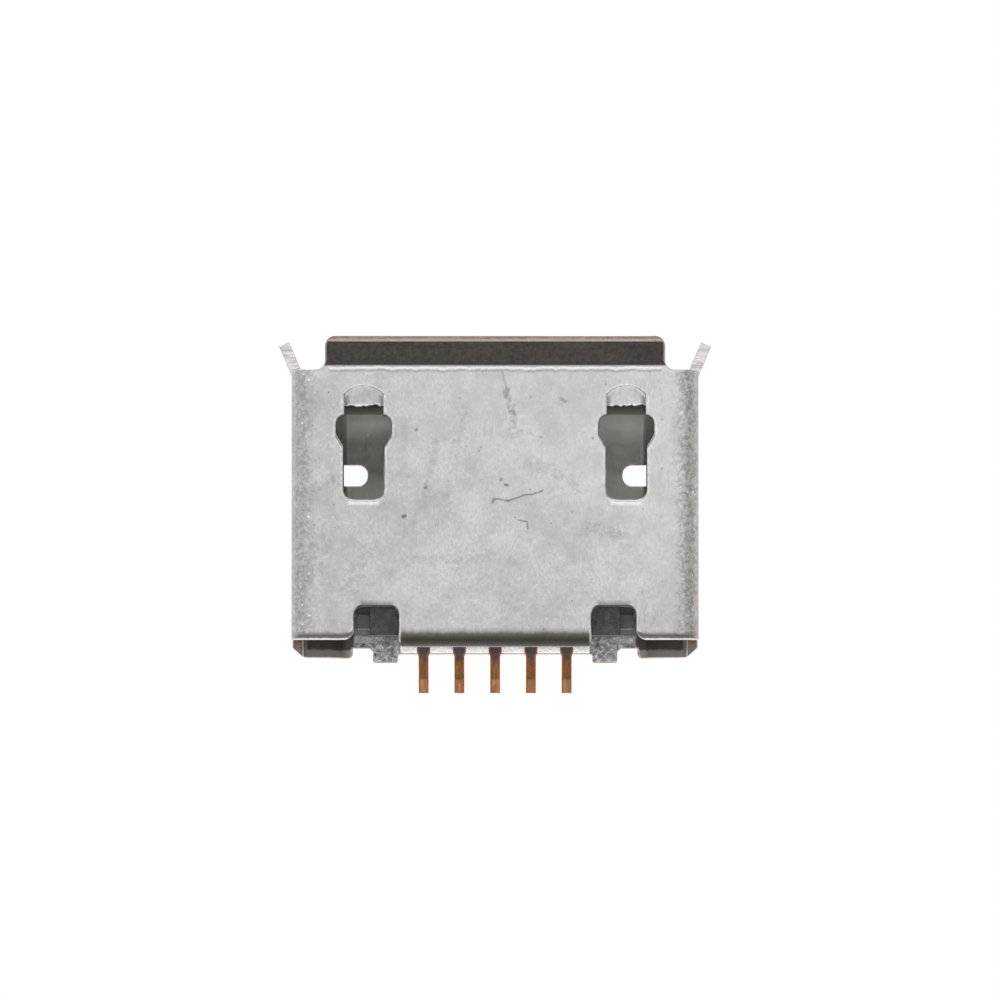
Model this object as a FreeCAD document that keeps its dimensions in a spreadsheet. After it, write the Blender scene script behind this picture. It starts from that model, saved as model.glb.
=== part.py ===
"""Micro-B USB board socket: a folded metal shell, a black moulded housing and five contacts.

The socket lies as it does on its board. X runs across the mouth, Y points out of the mouth and Z
points away from the board. The origin is on the board plane, in the middle of the shell. Roof means
the wide wall away from the board, floor the narrow wall that is soldered down. Lengths are in
millimetres and angles in degrees.
"""

import FreeCAD
import Part
import Sketcher
import math
import os
import re

Vector = FreeCAD.Vector

SIZES = [
    ("sheet_thickness", "0.20", "thickness of the folded sheet"),
    ("cavity_width", "6.90", "inside width of the mouth"),
    ("cavity_height", "1.85", "inside height of the mouth"),
    ("chamfer_run", "0.72", "how far the sloping corners reach in under the side walls"),
    ("chamfer_rise", "0.75", "height of the sloping corners"),
    ("roof_bend", "0.12", "inside radius of the bends between roof and side walls"),
    ("floor_bend", "0.20", "inside radius of the bends at the sloping corners"),
    ("mouth_front", "2.34", "how far the cut front edge lies before the origin"),
    ("root_overlap", "0.05", "how far a folded flange reaches back into the wall it grows from"),
    ("cut_margin", "0.30", "how far a cut runs past the metal or plastic that it removes"),
    ("flare_angle", "23", "angle that the lips and ears are flared by"),
    ("flare_bend", "0.12", "inside radius of the flared bends"),
    ("lip_flat", "0.12", "flat stretch between the cut front edge and the bend of a lip"),
    ("lip_length", "0.60", "how far the lips reach past the cut front edge"),
    ("roof_lip_inset", "0.605", "how far the roof's lip ends short of the shell's side"),
    ("floor_lip_inset", "0.28", "how far the floor's lip ends short of the flat floor's side"),
    ("lip_corner", "0.19", "radius of the outer corners of a lip"),
    ("lip_root", "0.17", "radius of the inner corners at the root of a lip"),
    ("ear_setback", "0.08", "how far behind the cut front edge the ears start to flare"),
    ("ear_length", "0.60", "how far the ears reach past that start"),
    ("ear_floor_gap", "0.03", "height of an ear's lower edge above the sloping corner"),
    ("ear_roof_gap", "0.49", "how far an ear's upper edge lies below the roof's face"),
    ("ear_corner", "0.20", "radius of the outer corners of an ear"),
    ("ear_slit", "0.07", "relief slit above and below an ear"),
    ("roof_rear", "2.50", "how far the roof corners reach behind the origin"),
    ("roof_rear_round", "0.20", "radius of the roof corners beside the rear notches"),
    ("notch_length", "0.59", "length of the rear notches"),
    ("notch_width", "0.795", "width of the rear notches"),
    ("flap_side_gap", "0.225", "how far the flap reaches past the outermost contact"),
    ("notch_round", "0.15", "radius of the corners of a rear notch"),
    ("side_shoulder_drop", "0.95", "how far below the roof's face the side walls reach further back"),
    ("side_overhang", "0.13", "how far they reach past the roof corners there"),
    ("corner_slant", "0.21", "width of the slanted end of a sloping corner"),
    ("floor_corner_overhang", "0.31", "how far the floor's outer corners reach past the roof corners"),
    ("floor_notch_width", "0.37", "distance between such a corner and the rear foot"),
    ("floor_corner_round", "0.09", "radius of their inner rear corner"),
    ("floor_notch_overhang", "0.13", "how far the floor between corner and foot reaches past the roof corners"),
    ("floor_middle_overhang", "0.235", "how far the floor under the tails reaches past the roof corners"),
    ("foot_overhang", "0.39", "how far the rear feet reach past the roof corners"),
    ("foot_width", "0.45", "width of a rear foot"),
    ("foot_side_step", "0.045", "how far outside the flap's side a rear foot starts"),
    ("foot_shoulder", "0.06", "width of the shoulder on a rear foot's outer side"),
    ("foot_round", "0.04", "radius of the corners of a rear foot"),
    ("flap_overhang", "0.11", "how far the flap's outer face lies behind the roof corners"),
    ("flap_bend", "0.08", "inside radius of the flap's bend"),
    ("flap_corner", "0.10", "radius of the flap's lower corners"),
    ("flap_tail_gap", "0.11", "gap between the flap's lower edge and the tails under it"),
    ("window_side_gap", "0.61", "distance of a latch window from the side wall's inner face"),
    ("window_width", "0.98", "width of a latch window at its wide front end"),
    ("window_waist", "0.715", "width of a latch window at its narrow rear end"),
    ("window_setback", "0.82", "how far behind the cut front edge the window's shoulders lie"),
    ("window_length", "1.51", "length of a latch window from its shoulders to its rear end"),
    ("window_wide_length", "0.35", "length of the wide stretch behind the shoulders"),
    ("window_taper_length", "0.22", "length of the taper between wide and narrow stretch"),
    ("window_shoulder_round", "0.17", "radius of the shoulders of a window"),
    ("window_taper_round", "0.14", "radius where the taper starts and ends"),
    ("window_rear_round", "0.20", "radius of the rear corners of a window"),
    ("latch_width", "0.68", "width of the pressed-in ramp before each window"),
    ("latch_gap", "0.17", "gap between the ramp's free edge and the window's shoulders"),
    ("latch_arch", "0.14", "how far the crease before the ramp arches"),
    ("latch_length", "0.35", "length of the ramp from its free edge to the top of that crease"),
    ("latch_roundness", "0.92", "share of the arched crease that is one round stretch"),
    ("latch_drop", "0.07", "how far the ramp's free edge is pressed in"),
    ("leg_middle", "0.515", "how far the middle of the legs lies before the origin"),
    ("leg_width", "0.38", "width of a through-hole leg"),
    ("leg_reach", "0.55", "how far a leg reaches below the board plane"),
    ("leg_root_gap", "0.07", "height above the sloping corner where a leg grows out of the side wall"),
    ("leg_tip_roundness", "0.80", "share of a leg's half width that is rounded at its tip"),
    ("leg_hole_reach", "0.41", "how far the hole left by a leg reaches into the flat floor"),
    ("leg_hole_roundness", "0.90", "share of the hole's half width that is rounded at that end"),
    ("seam_width", "0.03", "width of the seam along the middle of the floor"),
    ("dovetail_length", "0.55", "how far the seam's dovetail reaches across"),
    ("dovetail_neck", "0.60", "width of the dovetail at its neck"),
    ("dovetail_head", "1.00", "width of the dovetail at its head"),
    ("housing_gap", "0.02", "gap between the housing and the side walls and roof"),
    ("base_length", "0.90", "length of the housing's base before the contacts' risers"),
    ("base_corner_recess", "0.43", "how far the base ends before the rear edge in the shell's corners"),
    ("block_outer_recess", "0.20", "how far the outer blocks in the notches end before the rear edge"),
    ("block_inner_recess", "0.08", "how far the inner blocks in the notches end before the rear edge"),
    ("block_foot_gap", "0.02", "how far outside the rear foot an inner block steps to an outer one"),
    ("block_side_gap", "0.03", "gap between the blocks and the sides of the notches"),
    ("block_outer_drop", "0.30", "how far the outer blocks lie below the base's top"),
    ("block_slot_length", "0.12", "length of the slot before each outer block"),
    ("block_slot_depth", "0.90", "depth of that slot below the base's top"),
    ("tongue_side", "0.25", "how far the tongue reaches past the outermost contact"),
    ("tongue_thickness", "0.60", "thickness of the tongue"),
    ("tongue_roof_gap", "0.48", "gap between the tongue and the roof"),
    ("tongue_setback", "0.52", "how far the tongue's tip lies behind the cut front edge"),
    ("tongue_chamfer", "0.12", "chamfer round the tongue's tip"),
    ("tongue_root_length", "0.42", "length of the thicker root of the tongue"),
    ("tongue_root_rise", "0.18", "how much thicker the root is"),
    ("groove_setback", "0.20", "how far behind the tongue's tip the contact grooves end"),
    ("groove_side_gap", "0.02", "gap on each side of a contact in its groove"),
    ("groove_depth_gap", "0.02", "gap under a contact where its groove runs through the base"),
    ("contact_pitch", "0.65", "distance from contact to contact"),
    ("contact_thickness", "0.12", "thickness of a contact strip"),
    ("contact_width", "0.40", "width of a contact on the tongue"),
    ("contact_proud", "0.02", "how far a contact stands out of the tongue"),
    ("contact_tip_gap", "0.03", "gap between a contact's tip and the end of its groove"),
    ("contact_lead", "0.05", "chamfer on a contact's tip"),
    ("contact_bend", "0.06", "inside radius of a contact's two right-angled bends"),
    ("contact_housing_gap", "0.02", "gap between the housing's rear face and the contacts' risers"),
    ("contact_flap_gap", "0.12", "gap between the contacts' risers and the flap"),
    ("neck_setback", "0.35", "how far inside the base a contact narrows to its neck"),
    ("neck_taper", "0.05", "length of the slope before the neck"),
    ("neck_width", "0.235", "width of a contact's neck"),
    ("tail_taper_lead", "0.06", "how far before the tail's slope the neck starts to taper"),
    ("tail_taper_length", "0.08", "length of that taper"),
    ("tail_width", "0.18", "width of a solder tail"),
    ("tail_floor_gap", "0.07", "gap between the tails and the floor under them"),
    ("tail_straight", "0.15", "how far behind the flap a tail starts to slope down"),
    ("tail_slope_length", "0.46", "length of that slope"),
    ("tail_foot_length", "0.22", "length of a tail's foot on the board"),
    ("tail_bend", "0.10", "inside radius of a tail's two gentle bends"),
]

# The five lines, from the left as seen from above with the mouth ahead
CONTACTS = [
    "contact_1_power",
    "contact_2_data_minus",
    "contact_3_data_plus",
    "contact_4_id",
    "contact_5_ground",
]

# Places that are worked out from the sizes, each a formula in size names
PLACES = {
    "roof_under": "sheet_thickness + cavity_height",
    "roof_top": "roof_under + sheet_thickness",
    "cavity_half": "cavity_width / 2",
    "shell_half": "cavity_half + sheet_thickness",
    "cut_half": "shell_half + cut_margin",
    "cut_rear": "foot_rear + cut_margin",
    "floor_width": "cavity_width - 2 * chamfer_run",
    "chamfer_angle": "atan(chamfer_rise / chamfer_run)",
    "chamfer_top": "sheet_thickness + chamfer_rise",
    "chamfer_foot_shift": "sheet_thickness * tan(chamfer_angle / 2)",
    "chamfer_top_shift": "sheet_thickness * tan((90 deg - chamfer_angle) / 2)",
    "through_sheet": "sheet_thickness + 2 * cut_margin",
    "lip_bend_place": "mouth_front + lip_flat",
    "lip_reach": "mouth_front + lip_length",
    "roof_lip_width": "2 * (shell_half - roof_lip_inset)",
    "floor_lip_width": "floor_width - 2 * floor_lip_inset",
    "flare_shift": "sheet_thickness * tan(flare_angle / 2)",
    "ear_root": "mouth_front - ear_setback",
    "ear_reach": "ear_root + ear_length",
    "ear_bottom": "chamfer_top + ear_floor_gap",
    "ear_top": "roof_top - ear_roof_gap",
    "ear_height": "ear_top - ear_bottom",
    "contact_row_half": "%d * contact_pitch + contact_width / 2" % (len(CONTACTS) // 2),
    "notch_front": "roof_rear - notch_length",
    "notch_inner": "contact_row_half + flap_side_gap",
    "notch_outer": "notch_inner + notch_width",
    "side_shoulder": "roof_top - side_shoulder_drop",
    "side_rear": "roof_rear + side_overhang",
    "floor_corner_rear": "roof_rear + floor_corner_overhang",
    "floor_corner_inner": "foot_outer + floor_notch_width",
    "floor_notch_rear": "roof_rear + floor_notch_overhang",
    "floor_middle_rear": "roof_rear + floor_middle_overhang",
    "foot_rear": "roof_rear + foot_overhang",
    "foot_inner": "notch_inner + foot_side_step",
    "foot_outer": "foot_inner + foot_width",
    "flap_face": "roof_rear + flap_overhang",
    "flap_start": "flap_face - sheet_thickness - flap_bend",
    "tail_under": "sheet_thickness + tail_floor_gap",
    "tail_over": "tail_under + contact_thickness",
    "flap_bottom": "tail_over + flap_tail_gap",
    "window_middle": "cavity_half - window_side_gap - window_width / 2",
    "window_front": "mouth_front - window_setback",
    "window_taper_front": "window_front - window_wide_length",
    "window_taper_rear": "window_taper_front - window_taper_length",
    "window_rear": "window_front - window_length",
    "latch_half": "latch_width / 2",
    "latch_edge": "window_front + latch_gap",
    "latch_top": "latch_edge + latch_length",
    "latch_side": "latch_top - latch_arch",
    "latch_turn": "2 * atan(latch_arch / latch_half)",
    "leg_root": "chamfer_top + leg_root_gap",
    "leg_hole_inner": "floor_width / 2 - leg_hole_reach",
    "leg_tip_round": "leg_tip_roundness * leg_width / 2",
    "leg_hole_round": "leg_hole_roundness * leg_width / 2",
    "leg_rear": "leg_middle - leg_width / 2",
    "leg_front": "leg_middle + leg_width / 2",
    "base_half": "cavity_half - housing_gap",
    "base_top": "roof_under - housing_gap",
    "riser_rear": "flap_face - sheet_thickness - contact_flap_gap",
    "riser_front": "riser_rear - contact_thickness",
    "base_middle_rear": "riser_front - contact_housing_gap",
    "base_front": "base_middle_rear - base_length",
    "base_corner_rear": "roof_rear - base_corner_recess",
    "block_outer_rear": "roof_rear - block_outer_recess",
    "block_inner_rear": "roof_rear - block_inner_recess",
    "block_step": "foot_outer + block_foot_gap",
    "block_inner": "notch_inner + block_side_gap",
    "block_outer": "notch_outer - block_side_gap",
    "tongue_width": "2 * (contact_row_half + tongue_side)",
    "tongue_front": "mouth_front - tongue_setback",
    "groove_front": "tongue_front - groove_setback",
    "tongue_over": "roof_under - tongue_roof_gap",
    "tongue_under": "tongue_over - tongue_thickness",
    "contact_under": "tongue_under - contact_proud",
    "contact_over": "contact_under + contact_thickness",
    "contact_tip": "groove_front - contact_tip_gap",
    "groove_half": "contact_width / 2 + groove_side_gap",
    "neck_start": "base_front + neck_setback",
    "tail_slope_start": "flap_face + tail_straight",
    "tail_slope_end": "tail_slope_start + tail_slope_length",
    "tail_end": "tail_slope_end + tail_foot_length",
    "tail_taper_start": "tail_slope_start - tail_taper_lead",
    "tail_taper_end": "tail_taper_start + tail_taper_length",
    "tail_angle": "atan(tail_under / tail_slope_length)",
    "tail_shift": "contact_thickness * tan(tail_angle / 2)",
}

SIZE_NAMES = {name for name, value, meaning in SIZES}


def formula(text):
    """The expression for a formula in size names, with every name pointed at its cell."""

    def swap(match):
        word = match.group()
        if word in PLACES:
            return "(" + formula(PLACES[word]) + ")"
        return "Sizes." + word if word in SIZE_NAMES else word

    return re.sub(r"[a-z_]+", swap, text)


def size_sheet(doc):
    """The spreadsheet of driving dimensions: name, value and meaning in each row."""
    sheet = doc.addObject("Spreadsheet::Sheet", "Sizes")
    for row, (name, value, meaning) in enumerate(SIZES, start=1):
        sheet.set("A%d" % row, name)
        sheet.set("B%d" % row, value)
        sheet.set("C%d" % row, meaning)
        sheet.setAlias("B%d" % row, name)
    return sheet


def new_body(doc, label, across="0"):
    """A body of its own, moved across the socket by a formula."""
    body = doc.addObject("PartDesign::Body", label)
    body.Label = label
    body.setExpression(".Placement.Base.x", formula(across))
    return body


def origin_feature(body, role):
    """One of the body's own origin planes or axes."""
    return next(item for item in body.Origin.OriginFeatures if item.Role == role)


def mirrored(loop):
    """The same loop of corners on the other side of the middle."""
    return [("-(" + corner[0] + ")",) + corner[1:] for corner in loop]


def both_sides(profile, middle="0"):
    """A loop that runs along a profile and back along its mirror image about a middle line."""
    right = [(middle + " + (" + corner[0] + ")",) + corner[1:] for corner in profile]
    left = [(middle + " - (" + corner[0] + ")",) + corner[1:] for corner in reversed(profile)]
    return right + left


def add_loop(sketch, corners):
    """Adds one closed loop to a sketch.

    A corner is (across, along) or (across, along, radius), each a formula in size names. Straight
    runs join the corners, and an arc of the radius rounds a corner that has one.
    """

    def value(text):
        result = sketch.evalExpression(formula(text))
        return float(getattr(result, "Value", result))

    points = [Vector(value(corner[0]), value(corner[1]), 0) for corner in corners]
    count = len(corners)
    entries, leaves, arcs = [], [], []
    for index, corner in enumerate(corners):
        here = points[index]
        if len(corner) < 3:
            entries.append(here)
            leaves.append(here)
            arcs.append(None)
            continue
        radius = value(corner[2])
        back = (points[index - 1] - here).normalize()
        ahead = (points[(index + 1) % count] - here).normalize()
        half_angle = back.getAngle(ahead) / 2
        reach = radius / math.tan(half_angle)
        centre = here + (back + ahead).normalize() * (radius / math.sin(half_angle))
        entries.append(here + back * reach)
        leaves.append(here + ahead * reach)
        turns_left = back.cross(ahead).z < 0
        first, last = (entries[-1], leaves[-1]) if turns_left else (leaves[-1], entries[-1])
        angles = [math.atan2(end.y - centre.y, end.x - centre.x) for end in (first, last)]
        circle = Part.Circle(centre, Vector(0, 0, 1), radius)
        arcs.append((Part.ArcOfCircle(circle, angles[0], angles[1]), turns_left))

    lines = [
        sketch.addGeometry(Part.LineSegment(leaves[index], entries[(index + 1) % count]), False)
        for index in range(count)
    ]
    constraints, bindings = [], []

    def bind(kind, geometry, place, text):
        if text == "0":
            axis = -2 if kind == "DistanceX" else -1
            constraints.append(Sketcher.Constraint("PointOnObject", geometry, place, axis))
            return
        constraints.append(Sketcher.Constraint(kind, geometry, place, value(text)))
        bindings.append((len(constraints) - 1, text))

    for index, corner in enumerate(corners):
        before, after = lines[index - 1], lines[index]
        if arcs[index] is None:
            constraints.append(Sketcher.Constraint("Coincident", before, 2, after, 1))
            bind("DistanceX", after, 1, corner[0])
            bind("DistanceY", after, 1, corner[1])
            continue
        arc, turns_left = arcs[index]
        arc = sketch.addGeometry(arc, False)
        start, end = (1, 2) if turns_left else (2, 1)
        constraints.append(Sketcher.Constraint("Tangent", before, 2, arc, start))
        constraints.append(Sketcher.Constraint("Tangent", arc, end, after, 1))
        constraints.append(Sketcher.Constraint("Radius", arc, value(corner[2])))
        bindings.append((len(constraints) - 1, corner[2]))
        apex = sketch.addGeometry(Part.Point(points[index]), True)
        constraints.append(Sketcher.Constraint("PointOnObject", apex, 1, before))
        constraints.append(Sketcher.Constraint("PointOnObject", apex, 1, after))
        bind("DistanceX", apex, 1, corner[0])
        bind("DistanceY", apex, 1, corner[1])

    first_constraint = sketch.ConstraintCount
    sketch.addConstraint(constraints)
    for position, text in bindings:
        sketch.setExpression("Constraints[%d]" % (first_constraint + position), formula(text))


def outline(body, name, role, loops, height="0"):
    """A sketch of closed loops on an origin plane, moved along the plane's normal by a formula."""
    sketch = body.newObject("Sketcher::SketchObject", name)
    sketch.AttachmentSupport = [(origin_feature(body, role), "")]
    sketch.MapMode = "FlatFace"
    sketch.setExpression(".AttachmentOffset.Base.z", formula(height))
    for loop in loops:
        add_loop(sketch, loop)
    return sketch


def pad(body, name, role, loops, height, length):
    """Adds material from an outline, along the plane's normal: X, minus Y or Z."""
    feature = body.newObject("PartDesign::Pad", name)
    feature.Profile = outline(body, name + "_outline", role, loops, height)
    feature.setExpression("Length", formula(length))
    return feature


def pocket(body, name, role, loops, height, length):
    """Removes material from an outline, against the plane's normal: minus X, Y or minus Z."""
    before = settled(body).Volume
    feature = body.newObject("PartDesign::Pocket", name)
    feature.Profile = outline(body, name + "_outline", role, loops, height)
    feature.setExpression("Length", formula(length))
    if settled(body).Volume >= before:
        raise RuntimeError(name + " removes nothing")
    return feature


def settled(body):
    """The body's shape once everything in it is worked out."""
    body.Document.recompute()
    return body.Shape


def mirror(body, name, features):
    """Repeats features on the other side of the socket's middle plane."""
    feature = body.newObject("PartDesign::Mirrored", name)
    feature.Originals = features
    feature.MirrorPlane = (origin_feature(body, "YZ_Plane"), [""])
    body.Tip = feature
    return feature


def lip_section(side):
    """Section of a flared lip. Side is 1 for the roof's lip and -1 for the floor's."""
    inner = "roof_under" if side > 0 else "sheet_thickness"
    sign = "+" if side > 0 else "-"
    run = "(lip_reach - lip_bend_place)"
    tip_inner = "%s %s %s * tan(flare_angle)" % (inner, sign, run)
    tip_outer = "%s %s sheet_thickness * cos(flare_angle)" % (tip_inner, sign)
    outer = "%s %s sheet_thickness" % (inner, sign)
    return [
        ("mouth_front - root_overlap", inner),
        ("lip_bend_place", inner, "flare_bend + sheet_thickness"),
        ("lip_reach", tip_inner),
        ("lip_reach - sheet_thickness * sin(flare_angle)", tip_outer),
        ("lip_bend_place - flare_shift", outer, "flare_bend"),
        ("mouth_front - root_overlap", outer),
    ]


def lip_waste(width):
    """What is cut away round a lip to give it rounded corners and rounded roots."""
    half = width + " / 2"
    edge = half + " + lip_root + cut_margin"
    return both_sides([
        (edge, "lip_reach + cut_margin"),
        (edge, "mouth_front"),
        (half, "mouth_front", "lip_root"),
        (half, "lip_reach", "lip_corner"),
    ])


def add_lip(body, name, side, width, height):
    """One flared lip before the mouth, trimmed to its rounded outline."""
    half = width + " / 2 + lip_root"
    pad(body, name, "YZ_Plane", [lip_section(side)], "-(" + half + ")", "2 * (" + half + ")")
    depth = "lip_reach + roof_top"
    pocket(body, name + "_trim", "XY_Plane", [lip_waste(width)], height, depth)


def make_shell(doc):
    """The folded sheet with its windows, lips, ears, flap, legs and feet."""
    body = new_body(doc, "shell")

    # The tube, as wide as the mouth, with the sloping corners next to the floor
    inside = [
        ("floor_width / 2", "sheet_thickness", "floor_bend"),
        ("cavity_half", "chamfer_top", "floor_bend"),
        ("cavity_half", "roof_under", "roof_bend"),
    ]
    outside = [
        ("floor_width / 2 + chamfer_foot_shift", "0", "floor_bend + sheet_thickness"),
        ("shell_half", "chamfer_top - chamfer_top_shift", "floor_bend + sheet_thickness"),
        ("shell_half", "roof_top", "roof_bend + sheet_thickness"),
    ]
    pad(body, "tube", "XZ_Plane", [both_sides(outside), both_sides(inside)],
        "-mouth_front", "mouth_front + foot_rear")

    # The roof's rear edge, with the two notches and the start of the flap between them
    rear = [
        ("cut_half", "-cut_rear"),
        ("cut_half", "-roof_rear"),
        ("notch_outer", "-roof_rear", "roof_rear_round"),
        ("notch_outer", "-notch_front", "notch_round"),
        ("notch_inner", "-notch_front", "notch_round"),
        ("notch_inner", "-flap_start"),
    ]
    pocket(body, "roof_rear_cut", "XY_Plane", [both_sides(rear)],
           "roof_top + cut_margin", "roof_top + cut_margin - side_shoulder")

    # The rear edge below the roof: side walls, slanted corners, notches and solder feet
    edge = [
        ("cut_half", "-cut_rear"),
        ("cut_half", "-side_rear"),
        ("shell_half", "-side_rear"),
        ("shell_half - corner_slant", "-floor_corner_rear"),
        ("floor_corner_inner", "-floor_corner_rear", "floor_corner_round"),
        ("floor_corner_inner", "-floor_notch_rear"),
        ("foot_outer + foot_shoulder", "-floor_notch_rear"),
        ("foot_outer", "-(floor_notch_rear + foot_shoulder)"),
        ("foot_outer", "-foot_rear", "foot_round"),
        ("foot_inner", "-foot_rear", "foot_round"),
        ("foot_inner", "-floor_middle_rear", "foot_round"),
    ]
    pocket(body, "floor_rear_cut", "XY_Plane", [both_sides(edge)],
           "side_shoulder", "side_shoulder + cut_margin")

    # The flap folded down from the roof behind the housing
    flap = [
        ("-(flap_start - root_overlap)", "roof_under"),
        ("-(flap_face - sheet_thickness)", "roof_under", "flap_bend"),
        ("-(flap_face - sheet_thickness)", "flap_bottom"),
        ("-flap_face", "flap_bottom"),
        ("-flap_face", "roof_top", "flap_bend + sheet_thickness"),
        ("-(flap_start - root_overlap)", "roof_top"),
    ]
    pad(body, "flap", "YZ_Plane", [flap], "-notch_inner", "2 * notch_inner")
    corners = [
        ("notch_inner + root_overlap", "flap_bottom - root_overlap"),
        ("notch_inner + root_overlap", "roof_under - flap_bend"),
        ("notch_inner", "roof_under - flap_bend"),
        ("notch_inner", "flap_bottom", "flap_corner"),
    ]
    corners = both_sides(corners[::-1])
    pocket(body, "flap_corner_cuts", "XZ_Plane", [corners], "flap_face + cut_margin", "through_sheet")

    # The latch windows, and the ramps pressed in before them
    window = both_sides([
        ("window_width / 2", "window_front", "window_shoulder_round"),
        ("window_width / 2", "window_taper_front", "window_taper_round"),
        ("window_waist / 2", "window_taper_rear", "window_taper_round"),
        ("window_waist / 2", "window_rear", "window_rear_round"),
    ], "window_middle")
    arch = [
        ("window_middle - latch_half", "window_front - root_overlap"),
        ("window_middle - latch_half", "latch_side"),
        ("window_middle", "latch_side + latch_half * tan(latch_turn)",
         "latch_roundness * latch_half / sin(latch_turn)"),
        ("window_middle + latch_half", "latch_side"),
        ("window_middle + latch_half", "window_front - root_overlap"),
    ]
    for name, loop in (("windows", window), ("latch_arches", arch)):
        pocket(body, name, "XY_Plane", [loop, mirrored(loop)], "roof_top + cut_margin", "through_sheet")
    ramp = [
        ("latch_top + root_overlap", "roof_under"),
        ("latch_top + root_overlap", "roof_top"),
        ("latch_top", "roof_top"),
        ("latch_edge", "roof_top - latch_drop"),
        ("latch_edge", "roof_under - latch_drop"),
        ("latch_top", "roof_under"),
    ]
    ramps = pad(body, "latch_ramp", "YZ_Plane", [ramp], "window_middle - latch_half", "latch_width")
    mirror(body, "latch_ramps", [ramps])

    # The holes that the legs leave in floor and corner, and the legs folded down from the side walls
    hole = [
        ("cut_half", "leg_rear"),
        ("cut_half", "leg_front"),
        ("leg_hole_inner", "leg_front", "leg_hole_round"),
        ("leg_hole_inner", "leg_rear", "leg_hole_round"),
    ]
    pocket(body, "leg_holes", "XY_Plane", [hole, mirrored(hole)], "leg_root", "leg_root + cut_margin")
    leg = [
        ("leg_rear", "leg_root + root_overlap"),
        ("leg_rear", "-leg_reach", "leg_tip_round"),
        ("leg_front", "-leg_reach", "leg_tip_round"),
        ("leg_front", "leg_root + root_overlap"),
    ]
    legs = pad(body, "leg", "YZ_Plane", [leg], "cavity_half", "sheet_thickness")
    mirror(body, "legs", [legs])

    # The lips on roof and floor
    add_lip(body, "roof_lip", 1, "roof_lip_width", "lip_reach + roof_top")
    add_lip(body, "floor_lip", -1, "floor_lip_width", "sheet_thickness + root_overlap")

    # The ears: each side wall is slit, and the strip between the slits is flared outwards
    slit = [
        ("ear_root - root_overlap", "ear_bottom - ear_slit"),
        ("mouth_front + root_overlap", "ear_bottom - ear_slit"),
        ("mouth_front + root_overlap", "ear_top + ear_slit"),
        ("ear_root - root_overlap", "ear_top + ear_slit"),
    ]
    pocket(body, "ear_slits", "YZ_Plane", [slit], "cut_half", "2 * cut_half")
    ear = [
        ("cavity_half", "ear_root - 2 * root_overlap"),
        ("cavity_half", "ear_root", "flare_bend + sheet_thickness"),
        ("cavity_half + (ear_reach - ear_root) * tan(flare_angle)", "ear_reach"),
        ("cavity_half + (ear_reach - ear_root) * tan(flare_angle) + sheet_thickness * cos(flare_angle)",
         "ear_reach - sheet_thickness * sin(flare_angle)"),
        ("shell_half", "ear_root - flare_shift", "flare_bend"),
        ("shell_half", "ear_root - 2 * root_overlap"),
    ]
    strip = pad(body, "ear", "XY_Plane", [ear], "ear_bottom", "ear_height")
    tip = [
        ("mouth_front + root_overlap", "ear_top + cut_margin"),
        ("ear_reach + cut_margin", "ear_top + cut_margin"),
        ("ear_reach + cut_margin", "ear_bottom - cut_margin"),
        ("mouth_front + root_overlap", "ear_bottom - cut_margin"),
        ("mouth_front + root_overlap", "ear_bottom"),
        ("ear_reach", "ear_bottom", "ear_corner"),
        ("ear_reach", "ear_top", "ear_corner"),
        ("mouth_front + root_overlap", "ear_top"),
    ]
    trim = pocket(body, "ear_trim", "YZ_Plane", [tip], "shell_half + ear_reach", "ear_reach")
    mirror(body, "ears", [strip, trim])

    # The seam where the two edges of the sheet meet, locked by a dovetail
    left = [
        ("-seam_width / 2", "lip_reach + cut_margin"),
        ("-seam_width / 2", "dovetail_neck / 2"),
        ("dovetail_length", "dovetail_head / 2"),
        ("dovetail_length", "-dovetail_head / 2"),
        ("-seam_width / 2", "-dovetail_neck / 2"),
        ("-seam_width / 2", "-cut_rear"),
    ]
    right = [
        ("seam_width / 2", "-cut_rear"),
        ("seam_width / 2", "-(dovetail_neck / 2 + seam_width)"),
        ("dovetail_length + seam_width", "-(dovetail_head / 2 + seam_width)"),
        ("dovetail_length + seam_width", "dovetail_head / 2 + seam_width"),
        ("seam_width / 2", "dovetail_neck / 2 + seam_width"),
        ("seam_width / 2", "lip_reach + cut_margin"),
    ]
    pocket(body, "seam", "XY_Plane", [left + right], "sheet_thickness + root_overlap", "lip_reach")
    return body


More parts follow.
